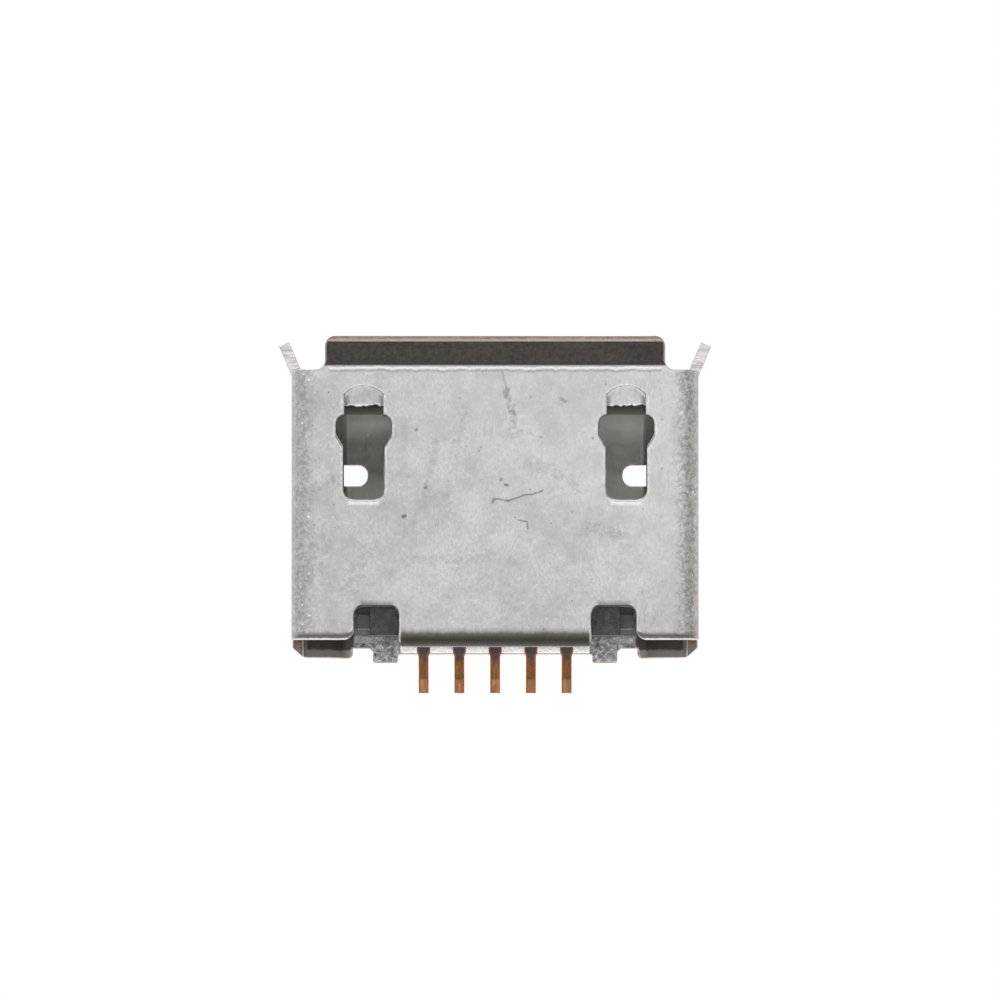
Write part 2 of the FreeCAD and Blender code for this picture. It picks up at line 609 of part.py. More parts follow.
def make_housing(doc):
    """The moulded insulator: a base at the rear and a tongue reaching into the mouth."""
    body = new_body(doc, "housing")

    # The base fills the tube's section and stands on the floor
    half = [
        ("floor_width / 2 - housing_gap", "sheet_thickness", "floor_bend"),
        ("base_half", "chamfer_top", "floor_bend"),
        ("base_half", "base_top", "roof_bend"),
    ]
    pad(body, "base", "XZ_Plane", [both_sides(half)], "base_front", "block_inner_rear - base_front")

    # The rear face steps back in the corners and behind the contacts
    corner = [
        ("cut_half", "-base_corner_rear"),
        ("block_outer", "-base_corner_rear"),
        ("block_outer", "-block_outer_rear"),
        ("block_step", "-block_outer_rear"),
        ("block_step", "-cut_rear"),
        ("cut_half", "-cut_rear"),
    ]
    middle = [
        ("-block_inner", "-base_middle_rear"),
        ("block_inner", "-base_middle_rear"),
        ("block_inner", "-cut_rear"),
        ("-block_inner", "-cut_rear"),
    ]
    pocket(body, "rear_steps", "XY_Plane", [corner, mirrored(corner), middle],
           "roof_top", "roof_top + cut_margin")
    low = [
        ("block_step", "-notch_front"),
        ("block_outer", "-notch_front"),
        ("block_outer", "-cut_rear"),
        ("block_step", "-cut_rear"),
    ]
    pocket(body, "outer_block_tops", "XY_Plane", [low, mirrored(low)],
           "roof_top", "roof_top - base_top + block_outer_drop")
    slot = [
        ("block_step", "-notch_front"),
        ("block_outer", "-notch_front"),
        ("block_outer", "-(notch_front + block_slot_length)"),
        ("block_step", "-(notch_front + block_slot_length)"),
    ]
    pocket(body, "outer_block_slots", "XY_Plane", [slot, mirrored(slot)],
           "roof_top", "roof_top - base_top + block_slot_depth")

    # The tongue, with a thicker root and a chamfered tip
    tongue = [
        ("-(base_front + root_overlap)", "tongue_under"),
        ("tongue_front - tongue_chamfer", "tongue_under"),
        ("tongue_front", "tongue_under + tongue_chamfer"),
        ("tongue_front", "tongue_over - tongue_chamfer"),
        ("tongue_front - tongue_chamfer", "tongue_over"),
        ("-(base_front - tongue_root_length)", "tongue_over"),
        ("-(base_front - tongue_root_length + tongue_root_rise)", "tongue_over + tongue_root_rise"),
        ("-(base_front + root_overlap)", "tongue_over + tongue_root_rise"),
    ]
    pad(body, "tongue", "YZ_Plane", [tongue], "-tongue_width / 2", "tongue_width")
    bevel = [
        ("tongue_width / 2 + cut_margin", "tongue_front + cut_margin"),
        ("tongue_width / 2 + cut_margin", "tongue_front - tongue_chamfer"),
        ("tongue_width / 2", "tongue_front - tongue_chamfer"),
        ("tongue_width / 2 - tongue_chamfer", "tongue_front"),
        ("tongue_width / 2 - tongue_chamfer", "tongue_front + cut_margin"),
    ]
    pocket(body, "tongue_bevels", "XY_Plane", [bevel, mirrored(bevel)],
           "roof_top", "roof_top")

    # One groove for each contact, under the tongue and on through the base
    first = "-%d * contact_pitch" % (len(CONTACTS) // 2)
    groove = [
        (first + " - groove_half", "contact_under - groove_depth_gap"),
        (first + " + groove_half", "contact_under - groove_depth_gap"),
        (first + " + groove_half", "contact_over"),
        (first + " - groove_half", "contact_over"),
    ]
    cut = pocket(body, "groove", "XZ_Plane", [groove], "cut_rear", "cut_rear + groove_front")
    grooves = body.newObject("PartDesign::LinearPattern", "grooves")
    grooves.Originals = [cut]
    grooves.Direction = (origin_feature(body, "X_Axis"), [""])
    grooves.setExpression("Length", formula("%d * contact_pitch" % (len(CONTACTS) - 1)))
    grooves.Occurrences = len(CONTACTS)
    body.Tip = grooves
    return body


def make_contact(doc, label, position):
    """One stamped strip, from the tongue's tip through the base to its solder tail."""
    steps = position - len(CONTACTS) // 2
    body = new_body(doc, label, "%d * contact_pitch" % steps)

    # The strip's side view: under the tongue, down behind the base, and out to the board
    strip = [
        ("contact_tip - contact_lead", "contact_under"),
        ("-riser_front", "contact_under", "contact_bend"),
        ("-riser_front", "tail_under", "contact_bend + contact_thickness"),
        ("-tail_slope_start", "tail_under", "tail_bend"),
        ("-tail_slope_end", "0", "tail_bend + contact_thickness"),
        ("-tail_end", "0"),
        ("-tail_end", "contact_thickness"),
        ("-(tail_slope_end - tail_shift)", "contact_thickness", "tail_bend"),
        ("-(tail_slope_start + tail_shift)", "tail_over", "tail_bend + contact_thickness"),
        ("-riser_rear", "tail_over", "contact_bend"),
        ("-riser_rear", "contact_over", "contact_bend + contact_thickness"),
        ("contact_tip", "contact_over"),
        ("contact_tip", "contact_under + contact_lead"),
    ]
    pad(body, label + "_strip", "YZ_Plane", [strip], "-contact_width / 2", "contact_width")

    # Both sides are cut back to the neck and then to the narrow tail
    side = [
        ("contact_width / 2 + cut_margin", "-(neck_start - neck_taper)"),
        ("contact_width / 2", "-(neck_start - neck_taper)"),
        ("neck_width / 2", "-neck_start"),
        ("neck_width / 2", "-tail_taper_start"),
        ("tail_width / 2", "-tail_taper_end"),
        ("tail_width / 2", "-(tail_end + cut_margin)"),
        ("contact_width / 2 + cut_margin", "-(tail_end + cut_margin)"),
    ]
    pocket(body, label + "_sides", "XY_Plane", [side, mirrored(side)], "roof_top", "roof_top + cut_margin")
    return body


def check(doc, bodies):
    """Stops with a plain message if any object failed or any piece isn't one sound solid."""
    for item in doc.Objects:
        if "Invalid" in item.State or "Error" in item.State:
            raise RuntimeError("%s failed: %s" % (item.Name, item.State))
    for body in bodies:
        shape = body.Shape
        if shape.isNull() or not shape.isValid() or len(shape.Solids) != 1:
            raise RuntimeError("%s isn't one valid solid" % body.Label)


def main():
    """Builds the socket and writes each piece to its own file."""
    doc = FreeCAD.newDocument("micro_usb_socket")
    size_sheet(doc)
    doc.recompute()
    bodies = [make_shell(doc), make_housing(doc)]
    bodies += [make_contact(doc, label, position) for position, label in enumerate(CONTACTS)]
    doc.recompute()
    check(doc, bodies)
    os.makedirs("parts", exist_ok=True)
    for body in bodies:
        body.Shape.exportStep("parts/%s.step" % body.Label)
        box = body.Shape.BoundBox
        print("%-22s volume %.4f  x %.3f %.3f  y %.3f %.3f  z %.3f %.3f" % (
            body.Label, body.Shape.Volume, box.XMin, box.XMax, box.YMin, box.YMax, box.ZMin, box.ZMax))


main()
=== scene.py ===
"""Looks of a micro USB board socket: folded plated shell, black housing and five contacts.

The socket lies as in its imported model. X runs across the mouth, Y points out of the mouth and Z
points away from the board. Pieces are worked in millimetres and brought back to metres when they
are finished.
"""

from __future__ import annotations

import logging
import math
import random
from dataclasses import dataclass, field
from enum import IntEnum
from typing import Callable, Mapping, Sequence, Union

import bmesh
import bpy
from mathutils import Matrix, Vector
from mathutils.bvhtree import BVHTree


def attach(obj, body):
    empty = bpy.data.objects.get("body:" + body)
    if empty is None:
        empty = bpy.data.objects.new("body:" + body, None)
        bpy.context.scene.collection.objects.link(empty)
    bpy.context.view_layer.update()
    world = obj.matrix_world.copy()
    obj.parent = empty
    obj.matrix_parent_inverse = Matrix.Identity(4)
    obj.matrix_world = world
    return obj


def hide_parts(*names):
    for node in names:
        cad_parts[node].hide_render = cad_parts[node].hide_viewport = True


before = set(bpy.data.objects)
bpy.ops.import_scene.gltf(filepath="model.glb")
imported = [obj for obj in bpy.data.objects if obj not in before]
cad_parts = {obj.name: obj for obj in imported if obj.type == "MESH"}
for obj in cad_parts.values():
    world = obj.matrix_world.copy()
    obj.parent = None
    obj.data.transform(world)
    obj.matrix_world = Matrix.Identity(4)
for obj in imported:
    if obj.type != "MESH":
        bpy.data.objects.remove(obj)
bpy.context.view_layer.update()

LOG = logging.getLogger("micro_usb_socket")
MM = 0.001
ROOF_TOP = 2.25

Colour = tuple[float, float, float]
Point = tuple[float, float, float]
Socket = bpy.types.NodeSocket
Tree = bpy.types.NodeTree
Material = bpy.types.Material
Edge = bmesh.types.BMEdge
Feed = Union[Socket, float, Sequence[float]]
Look = tuple[Feed, Feed, Feed]

# Vector sums whose result is a number
NUMBER_SUMS = ("LENGTH", "DISTANCE", "DOT_PRODUCT")
# Too small to show, but enough to put one sum after another
NEXT_TO_NOTHING = 1e-6
WAVE_HEIGHT = 4.0


class Layer(IntEnum):
    """The material slots of a stamped piece."""

    FACE = 0
    CUT = 1
    RIM = 2
    INSIDE = 3


# Node work


class NodeBoard:
    """A node tree being wired, with a short call for each kind of node that the finishes use."""

    def __init__(self, tree: Tree) -> None:
        """Starts on an empty tree."""
        self.tree = tree

    def feed(self, socket: Socket, value: Feed) -> None:
        """Links a socket to another one, or sets its plain value.

        Args:
            socket: the input.
            value: an output socket, a number or a row of numbers.
        """
        if isinstance(value, Socket):
            self.tree.links.new(value, socket)
        elif socket.type == "RGBA" and len(value) == 3:
            socket.default_value = (*value, 1.0)
        else:
            socket.default_value = value

    def add(self, kind: str, feeds: Mapping[str | int, Feed] | None = None,
            **settings: object) -> bpy.types.Node:
        """Adds one node.

        Args:
            kind: the node's type name.
            feeds: what goes into its inputs, by their names or numbers.
            settings: properties to set on it.

        Returns:
            The new node.
        """
        node = self.tree.nodes.new(kind)
        for name, value in settings.items():
            setattr(node, name, value)
        for name, value in (feeds or {}).items():
            self.feed(node.inputs[name], value)
        return node

    def math(self, operation: str, first: Feed, second: Feed = 0.0, third: Feed = 0.0,
             clamp: bool = False) -> Socket:
        """The result of one sum, kept between 0 and 1 if wanted."""
        return self.add("ShaderNodeMath", {0: first, 1: second, 2: third},
                        operation=operation, use_clamp=clamp).outputs[0]

    def vector(self, operation: str, first: Feed, second: Feed = (0.0, 0.0, 0.0),
               scale: Feed = 1.0) -> Socket:
        """The result of one vector sum, a vector or a number."""
        node = self.add("ShaderNodeVectorMath", {0: first, 1: second, 3: scale}, operation=operation)
        return node.outputs["Value" if operation in NUMBER_SUMS else "Vector"]

    def join(self, across: Feed = 0.0, along: Feed = 0.0, up: Feed = 0.0) -> Socket:
        """A vector from three numbers."""
        return self.add("ShaderNodeCombineXYZ", {0: across, 1: along, 2: up}).outputs[0]

    def parts(self, place: Feed) -> Sequence[Socket]:
        """A vector's three numbers."""
        return self.add("ShaderNodeSeparateXYZ", {0: place}).outputs[:3]

    def times(self, first: Feed, second: Feed, clamp: bool = False) -> Socket:
        """The product of two values, kept between 0 and 1 if wanted."""
        return self.math("MULTIPLY", first, second, clamp=clamp)

    def ramp(self, value: Feed, slope: Feed, start: Feed) -> Socket:
        """A value times a slope, on top of a start."""
        return self.math("MULTIPLY_ADD", value, slope, start)

    def step(self, value: Feed, low: float, high: float, start: float = 0.0, end: float = 1.0) -> Socket:
        """A smooth step of a value, from the level start at low to the level end at high."""
        low, high, start, end = (low, high, start, end) if low < high else (high, low, end, start)
        return self.add("ShaderNodeMapRange", {
            "Value": value, "From Min": low, "From Max": high, "To Min": start, "To Max": end,
        }, interpolation_type="SMOOTHSTEP").outputs["Result"]

    def blend(self, mask: Feed, first: Feed, second: Feed, share: float = 1.0) -> Socket:
        """The second colour over the first one, by a mask times a share."""
        mask = mask if share == 1.0 else self.times(mask, share)
        return self.add("ShaderNodeMix", {0: mask, 6: first, 7: second}, data_type="RGBA").outputs[2]

    def noise(self, place: Feed, scale: float, detail: float, roughness: float,
              distortion: float = 0.0) -> Socket:
        """A noise value at a place, with finer layers of some strength on top, stirred if wanted."""
        return self.add("ShaderNodeTexNoise", {
            "Vector": place, "Scale": scale, "Detail": detail, "Roughness": roughness,
            "Distortion": distortion}).outputs["Fac"]

    def after(self, place: Feed, mask: Feed) -> Socket:
        """The same place by way of a mask: a shader holds few values, so masks must come in turn."""
        return self.vector("ADD", place, self.times(mask, NEXT_TO_NOTHING))


class PatternGroups:
    """The patterns that several finishes use, each a node group that is built once."""

    def __init__(self) -> None:
        """Builds every group."""
        self.trees: dict[str, Tree] = {}
        for build in (self._mottle, self._scratches, self._specks, self._stroke, self._grain, self._box,
                      self._arc):
            build()

    def _open(self, name: str, vectors: str, numbers: str, gives: str = "Mask") -> tuple[
            NodeBoard, bpy.types.NodeOutputs, Socket]:
        """Starts a group with one output.

        Args:
            name: the group's name.
            vectors: the names of its vector inputs.
            numbers: the names of its number inputs.
            gives: its output's name.

        Returns:
            The board, what comes in by name, and the socket to feed.
        """
        tree = self.trees[name] = bpy.data.node_groups.new(name, "ShaderNodeTree")
        for kind, labels in (("NodeSocketVector", vectors), ("NodeSocketFloat", numbers)):
            for label in labels.split():
                tree.interface.new_socket(label, in_out="INPUT", socket_type=kind)
        kind = "NodeSocketVector" if gives == "Normal" else "NodeSocketFloat"
        tree.interface.new_socket(gives, in_out="OUTPUT", socket_type=kind)
        board = NodeBoard(tree)
        return board, board.add("NodeGroupInput").outputs, board.add("NodeGroupOutput").inputs[0]

    def _mottle(self) -> None:
        """Cloudy patches in three sizes, as on scuffed plating."""
        board, given, sink = self._open("mottle", "Place", "Size", "Shade")
        place = board.vector("SCALE", given["Place"], scale=given["Size"])
        broad = board.noise(place, 0.55, 2.0, 0.55, 0.6)
        middle = board.noise(board.vector("ADD", place, (7.3, 2.1, 4.4)), 2.6, 3.0, 0.6, 0.4)
        fine = board.noise(place, 14.0, 2.0, 0.65)
        shade = board.ramp(fine, 0.3, board.ramp(middle, 0.36, board.times(broad, 0.34)))
        board.feed(sink, board.step(shade, 0.34, 0.66))

    def _scratches(self) -> None:
        """Fine straight scratches along one direction."""
        board, given, sink = self._open("scratches", "Place", "Turn Reach Lines Share")
        turned = board.add("ShaderNodeVectorRotate", {"Vector": given["Place"], "Angle": given["Turn"]},
                           rotation_type="Z_AXIS")
        across, along, up = board.parts(turned.outputs["Vector"])
        stretched = board.join(board.times(across, given["Lines"]), board.times(along, given["Reach"]),
                               board.times(up, 3.0))
        lines = board.noise(stretched, 1.0, 2.0, 0.6)
        thin = board.step(board.math("ABSOLUTE", board.math("SUBTRACT", lines, 0.5)), 0.028, 0.0)
        patches = board.noise(given["Place"], 1.3, 2.0, 0.5)
        kept = board.times(board.math("SUBTRACT", patches, given["Share"]), 6.0, clamp=True)
        board.feed(sink, board.times(thin, kept))

    def _specks(self) -> None:
        """Scattered round specks of uneven size."""
        board, given, sink = self._open("specks", "Place", "Cells Width Share")
        stir = board.noise(given["Place"], 9.0, 2.0, 0.5)
        stir = board.vector("SCALE", (1.0, 1.0, 1.0), scale=board.times(stir, 0.05))
        cells = board.add("ShaderNodeTexVoronoi", {
            "Vector": board.vector("ADD", given["Place"], stir), "Scale": given["Cells"]}, feature="F1")
        pick = board.parts(cells.outputs["Color"])
        chosen = board.math("LESS_THAN", pick[0], given["Share"])
        size = board.times(given["Width"], board.math("ADD", pick[1], 0.35))
        near = board.math("DIVIDE", cells.outputs["Distance"], size)
        dot = board.step(near, 1.0, 0.45)
        board.feed(sink, board.times(dot, chosen))

    def _stroke(self) -> None:
        """One straight mark from a start to an end, a little wavy."""
        board, given, sink = self._open("stroke", "Place Start End", "Width Rough")
        start, end = given["Start"], given["End"]
        reach = board.vector("SUBTRACT", given["Place"], start)
        line = board.vector("SUBTRACT", end, start)
        share = board.math("DIVIDE", board.vector("DOT_PRODUCT", reach, line),
                           board.vector("DOT_PRODUCT", line, line), clamp=True)
        foot = board.vector("SCALE", line, scale=share)
        away = board.vector("LENGTH", board.vector("SUBTRACT", reach, foot))
        width = board.times(given["Width"], board.times(given["Rough"], 2.0))
        board.feed(sink, board.step(board.math("DIVIDE", away, width), 1.0, 0.3))

    def _arc(self) -> None:
        """A round line about a point of the plan, on either side."""
        board, given, sink = self._open("arc", "Place Middle", "Radius Width")
        across, along = board.parts(given["Place"])[:2]
        folded = board.join(board.math("ABSOLUTE", across), along)
        reach = board.vector("DISTANCE", folded, given["Middle"])
        off = board.math("ABSOLUTE", board.math("SUBTRACT", reach, given["Radius"]))
        board.feed(sink, board.step(board.math("DIVIDE", off, given["Width"]), 1.0, 0.3))

    def _box(self) -> None:
        """A mask that is 1 inside a box and fades out at its sides, with X to either side."""
        board, given, sink = self._open("box", "Place Low High", "Soft")
        across, along, up = board.parts(given["Place"])
        folded = board.join(board.math("ABSOLUTE", across), along, up)
        middle = board.vector("SCALE", board.vector("ADD", given["Low"], given["High"]), scale=0.5)
        half = board.vector("SCALE", board.vector("SUBTRACT", given["High"], given["Low"]), scale=0.5)
        away = board.vector("ABSOLUTE", board.vector("SUBTRACT", folded, middle))
        out = board.parts(board.vector("SUBTRACT", away, half))
        farthest = board.math("MAXIMUM", board.math("MAXIMUM", out[0], out[1]), out[2])
        inward = board.math("SUBTRACT", given["Soft"], farthest)
        board.feed(sink, board.math("DIVIDE", inward, board.times(given["Soft"], 2.0), clamp=True))

    def _grain(self) -> None:
        """A fine rough surface."""
        board, given, sink = self._open("grain", "Place", "Lines Depth Extra", "Normal")
        scaled = board.vector("SCALE", given["Place"], scale=given["Lines"])
        fine = board.noise(scaled, 1.0, 3.0, 0.6)
        broad = board.noise(scaled, 0.17, 2.0, 0.5)
        height = board.math("ADD", board.ramp(broad, 1.6, fine), given["Extra"])
        bump = board.add("ShaderNodeBump", {
            "Strength": 1.0, "Distance": board.times(given["Depth"], MM), "Height": height})
        board.feed(sink, bump.outputs["Normal"])


# Finishes


def open_material(name: str) -> tuple[Material, Tree]:
    """Starts a material.

    Args:
        name: the material's name.

    Returns:
        The material and its empty node tree.
    """
    material = bpy.data.materials.new(name)
    material.use_nodes = True
    material.node_tree.nodes.clear()
    return material, material.node_tree


class FinishBoard(NodeBoard):
    """A finish's board, with the pattern groups and the piece's own coordinates at hand."""

    def __init__(self, tree: Tree, groups: PatternGroups) -> None:
        """Starts on an empty tree.

        Args:
            tree: the material's node tree.
            groups: the pattern groups.
        """
        super().__init__(tree)
        self.groups = groups
        coordinates = self.add("ShaderNodeTexCoord").outputs["Object"]
        self.place = self.vector("SCALE", coordinates, scale=1 / MM)

    def use(self, group: str, place: Feed | None = None, **values: Feed) -> Socket:
        """What a pattern group puts out at a place, the piece's own coordinates if left out."""
        return self.add("ShaderNodeGroup", {"Place": place or self.place, **values},
                        node_tree=self.groups.trees[group]).outputs[0]


@dataclass(frozen=True)
class Finish:
    """What every finish has. Each kind paints its own look."""

    name: str
    roughness: float = 0.38
    metallic: float = 1.0

    def paint(self, board: FinishBoard) -> Look:
        """Wires the look.

        Args:
            board: the material's board.

        Returns:
            The colour, the roughness and the normal.
        """
        raise NotImplementedError

    def build(self, groups: PatternGroups) -> Material:
        """Makes the material.

        Args:
            groups: the pattern groups.

        Returns:
            The material.
        """
        material, tree = open_material(self.name)
        board = FinishBoard(tree, groups)
        colour, rough, normal = self.paint(board)
        shader = board.add("ShaderNodeBsdfPrincipled", {
            "Base Color": colour, "Roughness": rough, "Normal": normal, "Metallic": self.metallic})
        board.add("ShaderNodeOutputMaterial", {"Surface": shader.outputs["BSDF"]})
        return material


BROWN = (0.34, 0.235, 0.17)
COPPER = (0.58, 0.36, 0.25)
SCORE = (0.15, 0.14, 0.13)
SMUDGE = (0.33, 0.31, 0.29)
WARM = (0.5, 0.44, 0.38)


@dataclass(frozen=True)
class Patch:
    """A place on a piece with a tint of its own. Lengths are in millimetres, X to either side."""

    low: Point
    high: Point
    tint: Colour
    share: float = 1.0
    soft: float = 0.03
    uneven: float = 0.0
    rougher: float = 0.0
    wavy: float = 0.0


@dataclass(frozen=True)
class Mark:
    """A scratch, smear or dent on the roof that runs through some points, in millimetres."""

    points: tuple[tuple[float, float], ...]
    width: float
    share: float
    tint: Colour = SCORE
    broken: bool = False
    deep: bool = False


def lay_patches(board: FinishBoard, under: tuple[Feed, Feed], patches: Sequence[Patch],
                blotch: Feed) -> tuple[Feed, Feed]:
    """Lays patches over a finish.

    Args:
        board: the material's board.
        under: the colour and roughness below.
        patches: the patches, the last one on top.
        blotch: the mask that breaks up uneven patches.

    Returns:
        The new colour and roughness.
    """
    colour, rough = under
    place = board.place
    waves = board.noise(board.vector("MULTIPLY", place, (2.6, 0.0, 0.0)), 1.0, 3.0, 0.7)
    waves = board.math("SUBTRACT", waves, 0.5)
    for patch in patches:
        spot = place
        if patch.wavy:
            spot = board.vector("ADD", place, board.join(0.0, board.times(waves, patch.wavy * WAVE_HEIGHT)))
        mask = board.use("box", spot, Low=patch.low, High=patch.high, Soft=patch.soft)
        if patch.uneven:
            mask = board.times(mask, board.ramp(blotch, patch.uneven, 1.0 - patch.uneven))
        place = board.after(place, mask)
        colour = board.blend(mask, colour, patch.tint, patch.share)
        if patch.rougher:
            rough = board.ramp(mask, patch.rougher, rough)
    return colour, rough


@dataclass(frozen=True)
class PlatedFinish(Finish):
    """Matte grey plating, scuffed, with darker bands of painted shade along the bends, and tinned rear
    feet.
    """

    light: Colour = (0.735, 0.722, 0.715)
    shade: Colour = (0.505, 0.493, 0.487)
    dull: Colour = (0.27, 0.255, 0.235)
    bright: Colour = (0.93, 0.92, 0.91)
    tin: Colour = (0.37, 0.37, 0.38)
    grain_depth: float = 0.0011
    rim: float = 0.0
    marks: tuple[Mark, ...] = ()
    creases: tuple[tuple[float, float, float, Colour], ...] = ()
    crease_middle: Point = (2.35, 1.577, 0.0)
    patches: tuple[Patch, ...] = ()

    def draw_marks(self, board: FinishBoard, colour: Feed) -> tuple[Feed, Feed]:
        """Draws the marks of the roof.

        Args:
            board: the material's board.
            colour: the colour below.

        Returns:
            The new colour, and a mask of the marks.
        """
        if not self.marks:
            return colour, 0.0
        place = board.place
        rough = board.noise(place, 14.0, 2.0, 0.7)
        dent: Feed = 0.0
        for mark in self.marks:
            mask: Feed = 0.0
            for start, end in zip(mark.points, mark.points[1:]):
                stroke = board.use("stroke", place, Start=(*start, ROOF_TOP), End=(*end, ROOF_TOP),
                                   Width=mark.width, Rough=rough)
                mask = board.math("MAXIMUM", mask, stroke)
            if mark.broken:
                mask = board.times(mask, board.step(rough, 0.3, 0.72))
            mask = board.times(mask, mark.share)
            place = board.after(place, mask)
            colour = board.blend(mask, colour, mark.tint)
            if mark.deep:
                dent = board.math("MAXIMUM", dent, mask)
        return colour, dent

    def paint(self, board: FinishBoard) -> Look:
        """Wires the look.

        Args:
            board: the material's board.

        Returns:
            The colour, the roughness and the normal.
        """
        place, blend, noise, ramp = board.place, board.blend, board.noise, board.ramp
        step, times, use = board.step, board.times, board.use
        across, along, up = board.parts(place)
        side = board.math("ABSOLUTE", across)

        mottle = use("mottle", Size=1.0)
        spotty = noise(place, 13.0, 2.0, 0.7, 0.5)
        blotch = step(spotty, 0.42, 0.6)
        colour = blend(mottle, self.light, self.shade, 0.8)
        drawn = board.vector("MULTIPLY", place, (27.0, 13.0, 20.0))
        crumbs = step(noise(drawn, 1.0, 3.0, 0.72), 0.36, 0.64)
        colour = blend(crumbs, colour, self.shade, 0.56)
        # Painted light: the roof lighter towards +X and towards the mouth
        painted_light_slope = ramp(across, 0.35, times(along, 0.5))
        colour = blend(step(painted_light_slope, -0.8, 1.6, 0.0, 0.26), colour, self.bright)

        # Painted shade: darker bands along the bends between roof and side walls, where they turn away from
        # the light, darker on the right
        rise = step(up, 1.8, 1.95)
        band = times(step(ramp(spotty, 0.45, side), 3.36, 3.72), rise)
        lean = step(across, -1.0, 1.0, 0.06, 0.28)
        dull = times(band, ramp(blotch, 0.46, lean))
        colour = blend(dull, colour, self.dull)

        # Scuffs, dark specks in clusters, and painted glints: bright dots, most of them along the bends
        scuff = use("scratches", Turn=0.12, Reach=0.7, Lines=15.0, Share=0.56)
        colour = blend(scuff, colour, self.dull, 0.28)
        fine = use("specks", Cells=8.0, Width=0.2, Share=0.36)
        herd = step(noise(place, 1.1, 2.0, 0.6), 0.45, 0.62, 0.18, 0.8)
        colour = blend(times(fine, herd), colour, self.dull)
        dots = use("specks", board.vector("ADD", place, (3.1, 5.7, 1.3)), Cells=9.0, Width=0.24, Share=0.24)
        edge = times(step(side, 3.18, 3.3), rise)
        glint = times(dots, ramp(edge, 0.6, 0.3))
        colour = blend(glint, colour, self.bright)

        colour, mark = self.draw_marks(board, colour)
        # Painted highlights and painted shade in arcs along the crease where each latch starts to bend down
        for radius, width, share, tint in self.creases:
            arc = use("arc", Middle=self.crease_middle, Radius=radius, Width=width)
            arc = times(times(arc, step(along, 1.9, 1.96)), ramp(blotch, 0.75, 0.25))
            colour = blend(arc, colour, tint, share)

        # Tinned rear feet, where the painted glints show twice as strong
        feet = use("box", Low=(1.7, -3.1, -0.05), High=(2.62, -2.4, 0.26), Soft=0.03)
        lumps = noise(place, 11.0, 4.0, 0.66, 0.7)
        tin = blend(step(lumps, 0.46, 0.68), self.tin, self.bright)
        tin = blend(step(lumps, 0.48, 0.3), tin, (0.1, 0.105, 0.1))
        tin = blend(times(glint, 2.0, clamp=True), tin, self.bright, 0.8)
        colour = blend(feet, colour, tin)
        # Painted highlight on the rolled rims, broken up by noise
        if self.rim:
            rim_highlight = step(noise(place, 13.0, 4.0, 0.75), 0.4, 0.6)
            colour = blend(rim_highlight, colour, self.bright, self.rim)

        rough = ramp(feet, 0.04, ramp(mottle, 0.1, self.roughness - 0.05))
        rough = ramp(scuff, 0.1, rough)
        cloud = ramp(mottle, 0.35, step(spotty, 0.3, 0.74, 0.0, 0.65))
        colour, rough = lay_patches(board, (colour, rough), self.patches, cloud)

        swell = ramp(rise, 2.0, times(feet, 8.0))
        extra = ramp(swell, spotty, times(mark, -3.0))
        return colour, rough, use("grain", Lines=26.0, Depth=self.grain_depth, Extra=extra)


ROOF_MARKS = tuple(Mark(*row) for row in (
    # The long scratch in the middle and the nick below it
    (((-0.046, -0.04), (-0.02, 0.02), (0.05, 0.022), (0.23, -0.018)), 0.03, 0.58, SCORE, False, True),
    (((0.23, -0.018), (0.54, 0.095), (0.69, 0.105), (0.849, 0.165)), 0.023, 0.62, SCORE, False, True),
    (((0.41, -0.355), (0.57, -0.385), (0.586, -0.515)), 0.02, 0.55, SCORE, False, True),
    # The streak that comes down from the mouth, and a line under it
    (((0.133, 2.29), (0.23, 1.88)), 0.034, 0.4, SMUDGE),
    (((0.2, 1.95), (0.312, 1.56)), 0.085, 0.85, SMUDGE, True),
    (((0.3, 1.56), (0.35, 1.15)), 0.11, 0.34, SMUDGE, True),
    (((0.464, 1.25), (0.822, 1.13)), 0.032, 0.52, SMUDGE, True),
    # Brownish smears left of the middle
    (((-0.54, 1.62), (-0.78, 0.6), (-0.935, -0.42)), 0.13, 0.42, WARM, True),
    (((-1.07, 1.1), (-1.23, 0.12)), 0.11, 0.38, WARM, True),
    # Broad smudges, low on the left and across the middle
    (((-2.6, -1.56), (-2.38, -0.95)), 0.22, 0.34, SMUDGE, True),
    (((-3.24, 0.08), (-2.96, 0.38)), 0.13, 0.44, SMUDGE, True),
    (((-3.28, -1.5), (-3.12, -0.6)), 0.22, 0.3, SMUDGE, True),
    (((-1.56, -1.08), (-0.16, -1.02)), 0.13, 0.26, SMUDGE, True),
    (((1.4, -1.48), (1.72, -1.32)), 0.17, 0.28, SMUDGE, True),
    # Dark clusters right of the middle
    (((0.62, 0.69), (1.12, 0.43)), 0.15, 0.3, SMUDGE, True),
    (((1.35, 0.4), (1.48, 0.15)), 0.09, 0.32, SMUDGE, True),
    (((1.64, -0.5), (2.28, -0.6)), 0.17, 0.38, SMUDGE, True),
    # Single pits
    (((-1.42, 1.24), (-1.4, 1.26)), 0.034, 0.6),
    (((-1.64, -0.29), (-1.61, -0.28)), 0.04, 0.8),
    (((-1.25, 0.22), (-1.235, 0.225)), 0.034, 0.66),
    (((0.18, 0.27), (0.215, 0.262)), 0.036, 0.7),
    (((0.09, 0.36), (0.13, 0.385)), 0.028, 0.5),
    (((1.18, 1.82), (1.25, 1.77)), 0.05, 0.62, SMUDGE),
    (((-0.29, 0.87), (-0.28, 0.88)), 0.03, 0.5),
))

# Painted highlights and painted shade on the arched crease of each latch: radius, width, share and tint of
# each arc
LATCH_CREASE_LIGHT_AND_SHADE = (
    (0.495, 0.014, 0.85, (0.97, 0.96, 0.95)), (0.47, 0.01, 0.6, (0.2, 0.19, 0.18)),
    (0.45, 0.012, 0.7, (0.97, 0.96, 0.95)))

